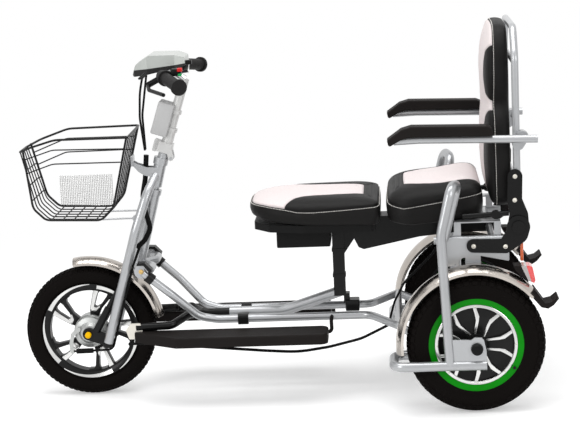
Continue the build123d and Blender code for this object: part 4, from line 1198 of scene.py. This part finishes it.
FRONT_CASING = [(131.0, 0.0), (131.0, 14.0), (133.0, 17.5), (137.5, 20.5), (139.0, 22.5), (140.5, 21.5),
                (147.0, 24.5), (155.0, 26.2), (162.0, 26.4), (168.0, 24.8), (173.0, 20.5), (176.5, 13.0),
                (177.8, 6.0), (178.0, 0.0)]
REAR_CASING = [(121.5, 0.0), (121.5, 24.0), (123.5, 29.6), (126.0, 30.6), (130.5, 31.2), (132.5, 30.6),
               (141.0, 32.8), (150.0, 34.0), (158.0, 34.2), (166.0, 31.5), (172.0, 26.0), (176.0, 17.0),
               (177.5, 8.0), (177.8, 0.0)]
CROWN_BLOCK = block_mesh("crown_block", 11.0, 9.0, 3.0)
FLANK_BLOCK = block_mesh("flank_block", 12.0, 8.5, 2.8)
SHOULDER_BLOCK = block_mesh("shoulder_block", 9.0, 10.0, 1.4)
REAR_CROWN_BLOCK = block_mesh("rear_crown_block", 13.0, 13.0, 3.0)
REAR_FLANK_BLOCK = block_mesh("rear_flank_block", 14.0, 12.0, 2.8)
REAR_SIDE_BLOCK = block_mesh("rear_side_block", 17.0, 12.0, 2.2)

dressed_tyre("front_tyre_tread", FRONT_AXLE, FRONT_CASING,
             [(CROWN_BLOCK, 178.0, 0, 0, 72, False), (FLANK_BLOCK, 176.0, 12.5, 15, 72, True),
              (SHOULDER_BLOCK, 171.0, 22.6, 50, 72, False)],
             "front_wheel", "front_tyre")
for side in ("left", "right"):
    dressed_tyre("rear_tyre_tread_" + side, centre_of("rear_tyre_" + side), REAR_CASING,
                 [(REAR_CROWN_BLOCK, 177.0, 7.5, 3, 60, False),
                  (REAR_FLANK_BLOCK, 174.0, 21.0, 22, 60, True),
                  (REAR_SIDE_BLOCK, 165.0, 31.8, 66, 48, False)], "rear_wheel_" + side, "rear_tyre_" + side)
print("tyres done")

# %% [markdown]
# ## Cast front wheel
# The casting has a rim ring and five V spokes: one broad leg and one thin leg with a flared foot.

# %% Front wheel casting
SPOKE_TURNS = [107 + 72 * i for i in range(5)]
SPOKE_FACE = 13.0
HUB_R = 46
SEAT_R = 117
V_SPOKE = [(HUB_R - 4, -13), (HUB_R + 13, -18), (SEAT_R - 6, -22), (SEAT_R, -22), (SEAT_R + 1, 2),
           (SEAT_R - 8, -6), (SEAT_R - 17, -8), (HUB_R + 22, -8), (HUB_R + 20, -2), (HUB_R + 30, 8),
           (SEAT_R - 14, 18), (SEAT_R, 20), (SEAT_R - 12, 52), (SEAT_R - 17, 49), (SEAT_R - 13, 36),
           (SEAT_R - 19, 28), (HUB_R + 20, 13), (HUB_R - 4, 10)]
RING = [(114, -15), (117, -18), (131, -22), (133.5, -22), (133.5, -20), (126, -16), (126, 16), (133.5, 20),
        (133.5, 22), (131, 22), (117, 18),
        (114, 15)]


def polar(axle, outline, turn):
    """Outline of (radial, tangential) millimetres as scene (x, z)."""
    c, s = math.cos(math.radians(turn)), math.sin(math.radians(turn))
    return [(axle.x + (r * c - t * s) * MM, axle.z + (r * s + t * c) * MM) for r, t in outline]


front_ring = lathe("front_rim_ring", RING, FRONT_AXLE, SATIN_BLACK, 120)
ride(front_ring, "front_wheel")
spoke_outlines = [polar(FRONT_AXLE, V_SPOKE, turn) for turn in SPOKE_TURNS]
spokes = plates("front_v_spokes", spoke_outlines, -SPOKE_FACE * MM, SPOKE_FACE * MM, SATIN_BLACK, 0.0015)
ride(spokes, "front_wheel")
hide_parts("front_rim")
print("front casting:", len(SPOKE_TURNS), "V spokes")

# %% [markdown]
# ## Machined faces of the front wheel
# The cast wheel is black, and the lathe has cut its highest faces bright: one leg of each V and a rim
# arc that thins out towards the next spoke. They are thin plates on the casting above.

# %% Front wheel faces
LEG_FACE = [(54, -12), (59, -16.5), (111, -21), (127, -19), (130, 6), (123, 6), (119, -6.5), (100, -8.5),
            (68, -8.5), (66, -2), (75, 7), (67, 8),
            (56, -1)]


# the rim arc: degrees before its spoke and in all, steps along it
ARC_LEAD, ARC_SPAN, ARC_STEPS = 6, 63, 22
# its inner radius at the spoke and how much that grows; its outer radius, its growth and its limit
ARC_INNER, ARC_TAPER, ARC_OUTER, ARC_GROWTH, ARC_LIMIT = 120.5, 11.0, 131.5, 2.0, 133.0
# the ring's face under it: y at a radius, its slope up to an edge, and the arc's skin below and above
FACE_Y, FACE_R, FACE_SLOPE, FACE_EDGE, ARC_SKIN = 17.9, 118.0, 0.36, 130.0, (-0.5, 0.6)


def rim_arc(axle, side, turn):
    """Bright rim arc that starts broad at a spoke and tapers away."""
    points = []
    for i in range(ARC_STEPS + 1):
        t = i / ARC_STEPS
        angle = math.radians(turn - ARC_LEAD + ARC_SPAN * t)
        inner = ARC_INNER + ARC_TAPER * t ** 1.2
        outer = min(ARC_OUTER + ARC_GROWTH * t, ARC_LIMIT)
        for radius in (inner, outer):
            y = FACE_Y + (min(radius, FACE_EDGE) - FACE_R) * FACE_SLOPE
            for lift in ARC_SKIN:
                points.append((axle.x + radius * MM * math.cos(angle), axle.y + side * (y + lift) * MM,
                               axle.z + radius * MM * math.sin(angle)))
    faces = [(0, 1, 3, 2), tuple(4 * ARC_STEPS + k for k in (2, 3, 1, 0))]
    for i in range(ARC_STEPS):
        a, b = 4 * i, 4 * i + 4
        faces += [(a, b, b + 1, a + 1), (a + 1, b + 1, b + 3, a + 3), (a + 3, b + 3, b + 2, a + 2),
                  (a + 2, b + 2, b, a)]
    return points, faces


MACHINED = polished_steel("machined_aluminium", (0.70, 0.70, 0.69), 0.2, (1.0, 1.0, 1.0))
for side, label in ((1, "left"), (-1, "right")):
    y0, y1 = sorted((side * (SPOKE_FACE - 0.3) * MM, side * (SPOKE_FACE + 0.9) * MM))
    leg_outlines = [polar(FRONT_AXLE, LEG_FACE, turn) for turn in SPOKE_TURNS]
    legs = plates("front_spoke_faces_" + label, leg_outlines, y0, y1, MACHINED, 0.0004)
    ride(legs, "front_wheel")
    points, faces = [], []
    for turn in SPOKE_TURNS:
        arc_points, arc_faces = rim_arc(FRONT_AXLE, side, turn)
        faces += [tuple(len(points) + k for k in face) for face in arc_faces]
        points += arc_points
    ride(new_piece("front_rim_arcs_" + label, points, faces, MACHINED), "front_wheel")
print("machined faces:", len(SPOKE_TURNS), "spokes a side")

# %% [markdown]
# ## Rear motor wheels
# Each hub motor has a dished black cover with five broad arms between two bevelled bright blades, and
# a bare ring with eight small bolts that parts it from the green rim.

# %% Rear hubs
HUB_SHELL = [(0, 25), (27, 25), (28.5, 23), (30, 17), (60, 13), (96, 14), (104, 19), (104, -17), (96, -21),
             (30, -24), (0, -24)]
HUB_RING = [(98.0, 16), (98.0, 25.0), (99.5, 26.6), (104.5, 26.6), (106.4, 25.6), (106.4, 16)]
HUB_ARM = [(18, 15), (62, 20), (77, 28), (88, 32), (96, 24)]
BLADE = [(27, 9.5), (60, 11.5), (74, 14), (93, 28), (98, 37), (93, 38), (77, 27.5), (62, 19.5), (26, 14.5)]
ARM_TURNS = [36 + 72 * i for i in range(5)]
# millimetres outward of the wheel's middle: arms, blades, ring bolts and valve
ARM_Y, BLADE_Y, BOLT_Y, VALVE_Y = (10, 21), (20.6, 23.0), 26.4, (24, 33)
RING_BOLTS, BOLT_CIRCLE = 8, 102
VALVE, VALVE_TURN = [(112, -3.5), (119, -3.5), (119, 3.5), (112, 3.5)], 213


def outward(axle, side, near_far):
    """The two scene y, in order, of a pair of distances outward of a wheel's middle."""
    return sorted(axle.y + side * y * MM for y in near_far)


for label, side in (("left", 1), ("right", -1)):
    axle = centre_of("rear_tyre_" + label)
    body = "rear_wheel_" + label
    shell = lathe("rear_hub_shell_" + label, [(r, side * y) for r, y in HUB_SHELL], axle, SATIN_BLACK, 96)
    ride(shell, body)
    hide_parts("rear_hub_" + label)
    arm = [(r, -t) for r, t in HUB_ARM] + HUB_ARM[::-1]
    arm_outlines = [polar(axle, arm, turn) for turn in ARM_TURNS]
    arms = plates("rear_hub_arms_" + label, arm_outlines, *outward(axle, side, ARM_Y), SATIN_BLACK, 0.0015)
    ride(arms, body)
    pairs = [polar(axle, BLADE, turn) for turn in ARM_TURNS]
    pairs += [polar(axle, [(r, -t) for r, t in reversed(BLADE)], turn) for turn in ARM_TURNS]
    blades = plates("rear_hub_blades_" + label, pairs, *outward(axle, side, BLADE_Y), MACHINED, 0.0007)
    ride(blades, body)
    bare_ring = lathe("rear_hub_ring_" + label, [(r, side * y) for r, y in HUB_RING], axle, MACHINED, 120)
    ride(bare_ring, body)
    ring = []
    for i in range(RING_BOLTS):
        turn = math.radians(90 + 360 / RING_BOLTS * i)
        spot = Vector((BOLT_CIRCLE * MM * math.cos(turn), side * BOLT_Y * MM,
                       BOLT_CIRCLE * MM * math.sin(turn)))
        ring.append((axle + spot, (0, side, 0), None, 1.0))
    ride(copies("rear_ring_bolts_" + label, DOME_BOLT, ring, BOLT_ZINC, 1.9 * MM), body)
    stem = polar(axle, VALVE, VALVE_TURN)
    valve = plates("rear_valve_" + label, [stem], *outward(axle, side, VALVE_Y), SATIN_BLACK, 0.0015)
    ride(valve, body)
print("rear hubs:", len(ARM_TURNS), "arms and", 2 * len(ARM_TURNS), "blades each")

# %% [markdown]
# ## Fenders
# Bent stainless strips with a domed crown and deep side skirts, turned round each wheel's axle.

# %% Fenders
FENDER_SKIRT, FENDER_DOME, SHEET = 20.0, 13.0, 2.0
FRONT_FENDER_HALF, BRIDGE_HALF = 31.0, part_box("front_fender")[1][1] / MM
DOME_POINTS = 13
FRONT_FENDER_GAP, REAR_FENDER_GAP = 26, 27
FRONT_ARC, REAR_ARC = (79, 170), (-6, 140)
BRIDGE_X, BRIDGE_Z, BRIDGE_R = 935, 350, 5.5


def fender_section(radius, half):
    """Closed section of a fender: domed outside, then the same inside, one sheet thickness in."""
    outer = [(radius - FENDER_SKIRT, -half)]
    inner = [(radius - FENDER_SKIRT, -half + SHEET)]
    for i in range(DOME_POINTS):
        t = -1 + 2 * i / (DOME_POINTS - 1)
        lift = FENDER_DOME * (1 - t * t)
        outer.append((radius - FENDER_DOME + lift, t * half))
        inner.append((radius - FENDER_DOME + lift - SHEET, t * (half - SHEET)))
    outer.append((radius - FENDER_SKIRT, half))
    inner.append((radius - FENDER_SKIRT, half - SHEET))
    return outer + inner[::-1]


def fender(name, wheel_centre, node, radius, half, arc, body):
    """Domed fender that stands for the CAD strip."""
    low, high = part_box(node)
    middle = Vector((wheel_centre.x, (low[1] + high[1]) / 2, wheel_centre.z))
    piece = lathe(name, fender_section(radius, half), middle, STEEL, 72, arc)
    piece.data.set_sharp_from_angle(angle=math.radians(40))
    ride(piece, body)
    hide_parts(node)


for label in ("left", "right"):
    low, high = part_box("rear_fender_" + label)
    fender("rear_fender_dome_" + label, centre_of("rear_tyre_" + label), "rear_fender_" + label,
           TYRE_R + REAR_FENDER_GAP, (high[1] - low[1]) / 2 / MM, REAR_ARC, "frame")
fender("front_fender_dome", FRONT_AXLE, "front_fender", TYRE_R + FRONT_FENDER_GAP,
       FRONT_FENDER_HALF, FRONT_ARC, "fork_assembly")
bridge_ends = [(BRIDGE_X, y, BRIDGE_Z) for y in (-BRIDGE_HALF, BRIDGE_HALF)]
bridge = pipes("fender_bridge", [bridge_ends], BRIDGE_R, STEEL, 16, False)
ride(bridge, "fork_assembly")
print("fenders done")

# %% [markdown]
# ## Basket
# Black wire basket: a thick rim, two hoops and rows of thin wires down the front and along the floor.
# A panel of crossed wires, which stands for perforated sheet, lines the lower half of the right side.

# %% Basket
TOP_Y, KINK_Y, NOSE_Y, LOW_Y = 118, 107, 50, 104
HEAD_X, HEAD_Z = 905, 365
THICK_R, THICK_BEND, THIN_R, THIN_BEND = 3.2, 28, 1.9, 20
PANEL_X, PANEL_Z, PANEL_PITCH, PANEL_WIRE_R = (78, 226), (146, 232), 5.0, 0.9
PANEL_Y, PANEL_LEAN = 1 - LOW_Y, 4


def from_head(points):
    """Drawn places of points that are measured from (HEAD_X, HEAD_Z), near the foot of the head tube."""
    return [(HEAD_X + x, y, HEAD_Z + z) for x, y, z in points]


def bent(route, radius):
    """Route with a point before and after each corner: its bends are short and its runs stay straight."""
    corners = [Vector(p) for p in route]
    points = [corners[0]]
    for before, corner, after in zip(corners, corners[1:], corners[2:]):
        back, ahead = before - corner, after - corner
        points.append(corner + back.normalized() * min(radius, back.length * 0.45))
        points.append(corner)
        points.append(corner + ahead.normalized() * min(radius, ahead.length * 0.45))
    return [tuple(p) for p in points + [corners[-1]]]


rim_half = [(-5, TOP_Y, 365), (192, KINK_Y, 364), (265, 80, 341), (300, NOSE_Y, 325)]
rim_route = rim_half + [(x, -y, z) for x, y, z in reversed(rim_half)]
thick = [from_head(rim_route + rim_route[:1])]
thin = []
for s in (1, -1):
    thick.append(from_head([(289, s * (NOSE_Y + 8), 333), (262, s * LOW_Y, 180), (229, s * LOW_Y, 147),
                            (80, s * LOW_Y, 142), (45, s * LOW_Y, 175), (-3, s * TOP_Y, 365)]))
    thin.append(from_head([(3, s * (TOP_Y - 3), 335), (199, s * (KINK_Y - 1), 337),
                           (284, s * (NOSE_Y + 16), 307)]))
    thin.append(from_head([(13, s * (TOP_Y - 6), 299), (201, s * (KINK_Y - 3), 299),
                           (278, s * (NOSE_Y + 26), 271)]))
for z, y, x in ((275, NOSE_Y + 25, 279), (235, NOSE_Y + 37, 272), (195, NOSE_Y + 49, 265)):
    thin.append(from_head([(x, y, z), (x + 5, y - 20, z), (x + 5, 20 - y, z), (x, -y, z)]))
for i in range(5):
    thin.append(from_head([(95 + 30 * i, -LOW_Y, 142.5 + i), (95 + 30 * i, LOW_Y, 142.5 + i)]))
for y in (-72, -36, 0, 36, 72):
    thin.append(from_head([(297, y * 0.7, 325), (258, y, 176), (225, y, 143.5), (80, y, 139), (43, y, 175),
                           (-4, y * 1.1, 364)]))
basket_frame = pipes("basket_frame", [bent(route, THICK_BEND) for route in thick], THICK_R, SATIN_BLACK)
ride(basket_frame, "fork_assembly")
basket_wires = pipes("basket_wires", [bent(route, THIN_BEND) for route in thin], THIN_R, SATIN_BLACK, 8)
ride(basket_wires, "fork_assembly")
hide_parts("basket")
grid = []
for i in range(int((PANEL_X[1] - PANEL_X[0]) / PANEL_PITCH) + 1):
    x = PANEL_X[0] + PANEL_PITCH * i
    grid.append(from_head([(x, PANEL_Y, PANEL_Z[0]), (x, PANEL_Y - PANEL_LEAN, PANEL_Z[1])]))
for i in range(int((PANEL_Z[1] - PANEL_Z[0]) / PANEL_PITCH) + 1):
    z = PANEL_Z[0] + PANEL_PITCH * i
    y = PANEL_Y - PANEL_LEAN * i * PANEL_PITCH / (PANEL_Z[1] - PANEL_Z[0])
    grid.append(from_head([(PANEL_X[0], y, z), (PANEL_X[1], y, z)]))
panel = pipes("basket_mesh_panel", grid, PANEL_WIRE_R, SILVER_PALE, 4, False)
ride(panel, "fork_assembly")
print("basket wires:", len(thick) + len(thin), "panel wires:", len(grid))

# %% [markdown]
# ## Meter case
# A pale case stands against the front of the steering column and leans with it.

# %% Meter case and axle cap
STEM_FOOT, STEM_TOP = Vector((818, 0, 669)), Vector((752, 0, 868))
CASE_SHARE, CASE_OFFSET = 0.43, 27
CASE_HALF_T, CASE_HALF_W, CASE_HALF_H = 22, 33, 45
rise = (STEM_TOP - STEM_FOOT).normalized()
forward = Vector((rise.z, 0, -rise.x))
case_centre = STEM_FOOT.lerp(STEM_TOP, CASE_SHARE) + forward * CASE_OFFSET
case = []
for a, b in ((-1, -1), (1, -1), (1, 1), (-1, 1)):
    corner = at(*(case_centre + forward * (a * CASE_HALF_T) + rise * (b * CASE_HALF_H)))
    case.append((corner.x, corner.z))
meter_case = plates("meter_case", [case], -CASE_HALF_W * MM, CASE_HALF_W * MM, GREY_SHELL, 0.004)
ride(meter_case, "stem_assembly")
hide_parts("meter_box")
axle_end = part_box("front_axle")[1][1] / MM
CAP = [(0, -5), (8.5, -5), (8.5, 3), (6.5, 6), (0, 7)]
cap = lathe("axle_cap", [(r, axle_end + y) for r, y in CAP], FRONT_AXLE, YELLOW_CAP, 32)
ride(cap, "fork_assembly")
print("meter case and axle cap done")

# %% [markdown]
# ## Bolts and small controls
# One dome bolt is copied to the frame's ears, the recliner plates and the armrest clamps. The switch
# pod, its buttons, the key and the lever studs are small pieces on the handlebar.


# %% Bolts
BOLT_SINK = 0.3
EAR_BOLT_R, SMALL_BOLT_R = 5.0, 4.6


def bolt_row(name, body, spots, size, material=BOLT_ZINC):
    """Bolts at (x, y, z) drawn millimetres, their heads pointing outward along Y."""
    places = [(at(x, y, z), (0, 1 if y > 0 else -1, 0), None, 1.0) for x, y, z in spots]
    ride(copies(name, DOME_BOLT, places, material, size * MM), body)


def outside(node):
    """Half width of a mirrored node, in millimetres."""
    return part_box(node)[1][1] / MM


def both_sides(y, spots):
    """Mirrored (x, y, z) drawn places from a y and (x, z) pairs."""
    return [(x, s * y, z) for x, z in spots for s in (1, -1)]


lower, upper, clamp = (outside(node) - BOLT_SINK
                       for node in ("recliner_lowers", "recliner_uppers", "armrest_clamps"))
bolt_row("ear_bolts", "frame", both_sides(113, [(885, 364)]), EAR_BOLT_R, BRASS)
bolt_row("recliner_low_bolts", "frame", both_sides(lower, [(-84, 426), (-2, 429)]), SMALL_BOLT_R)
bolt_row("recliner_high_bolts", "backrest", both_sides(upper, [(-113, 607), (-111, 545)]), SMALL_BOLT_R)
bolt_row("armrest_bolts", "backrest", both_sides(clamp, [(-136, 709)]), SMALL_BOLT_R, BRASS)
print("bolts done")

# %% Switches and key
def button(name, x, y, z, half, material):
    """Small moulded block: the switch pod, a button on it, or the head of the key."""
    centre = at(x, y, z)
    corners = ((-1, -0.7), (1, -0.7), (1, 0.7), (-1, 0.7))
    outline = [(centre.x + a * half * MM, centre.z + b * half * MM) for a, b in corners]
    made = plates(name, [outline], centre.y - half * MM, centre.y + half * MM, material, 0.0012)
    ride(made, "stem_assembly")


button("switch_pod", 752, 176, 905, 13, BLACK_SHELL)
button("horn_button", 742, 186, 912, 6.5, RED_PLASTIC)
button("light_button", 742, 186, 899, 5.0, GREEN_PLASTIC)
button("key_head", 734, 40, 916, 8, BLACK_SHELL)
key_shank = pipes("key_shank", [[(734, 40, 910), (736, 40, 886)]], 1.6, CHROME, 8)
ride(key_shank, "stem_assembly")
LEVER_STUDS = [[(838, 150, 902), (852, 168, 890)], [(838, 118, 898), (852, 130, 884)]]
ride(pipes("lever_stem", LEVER_STUDS, 3.0, SATIN_BLACK, 8), "stem_assembly")
print("controls done")
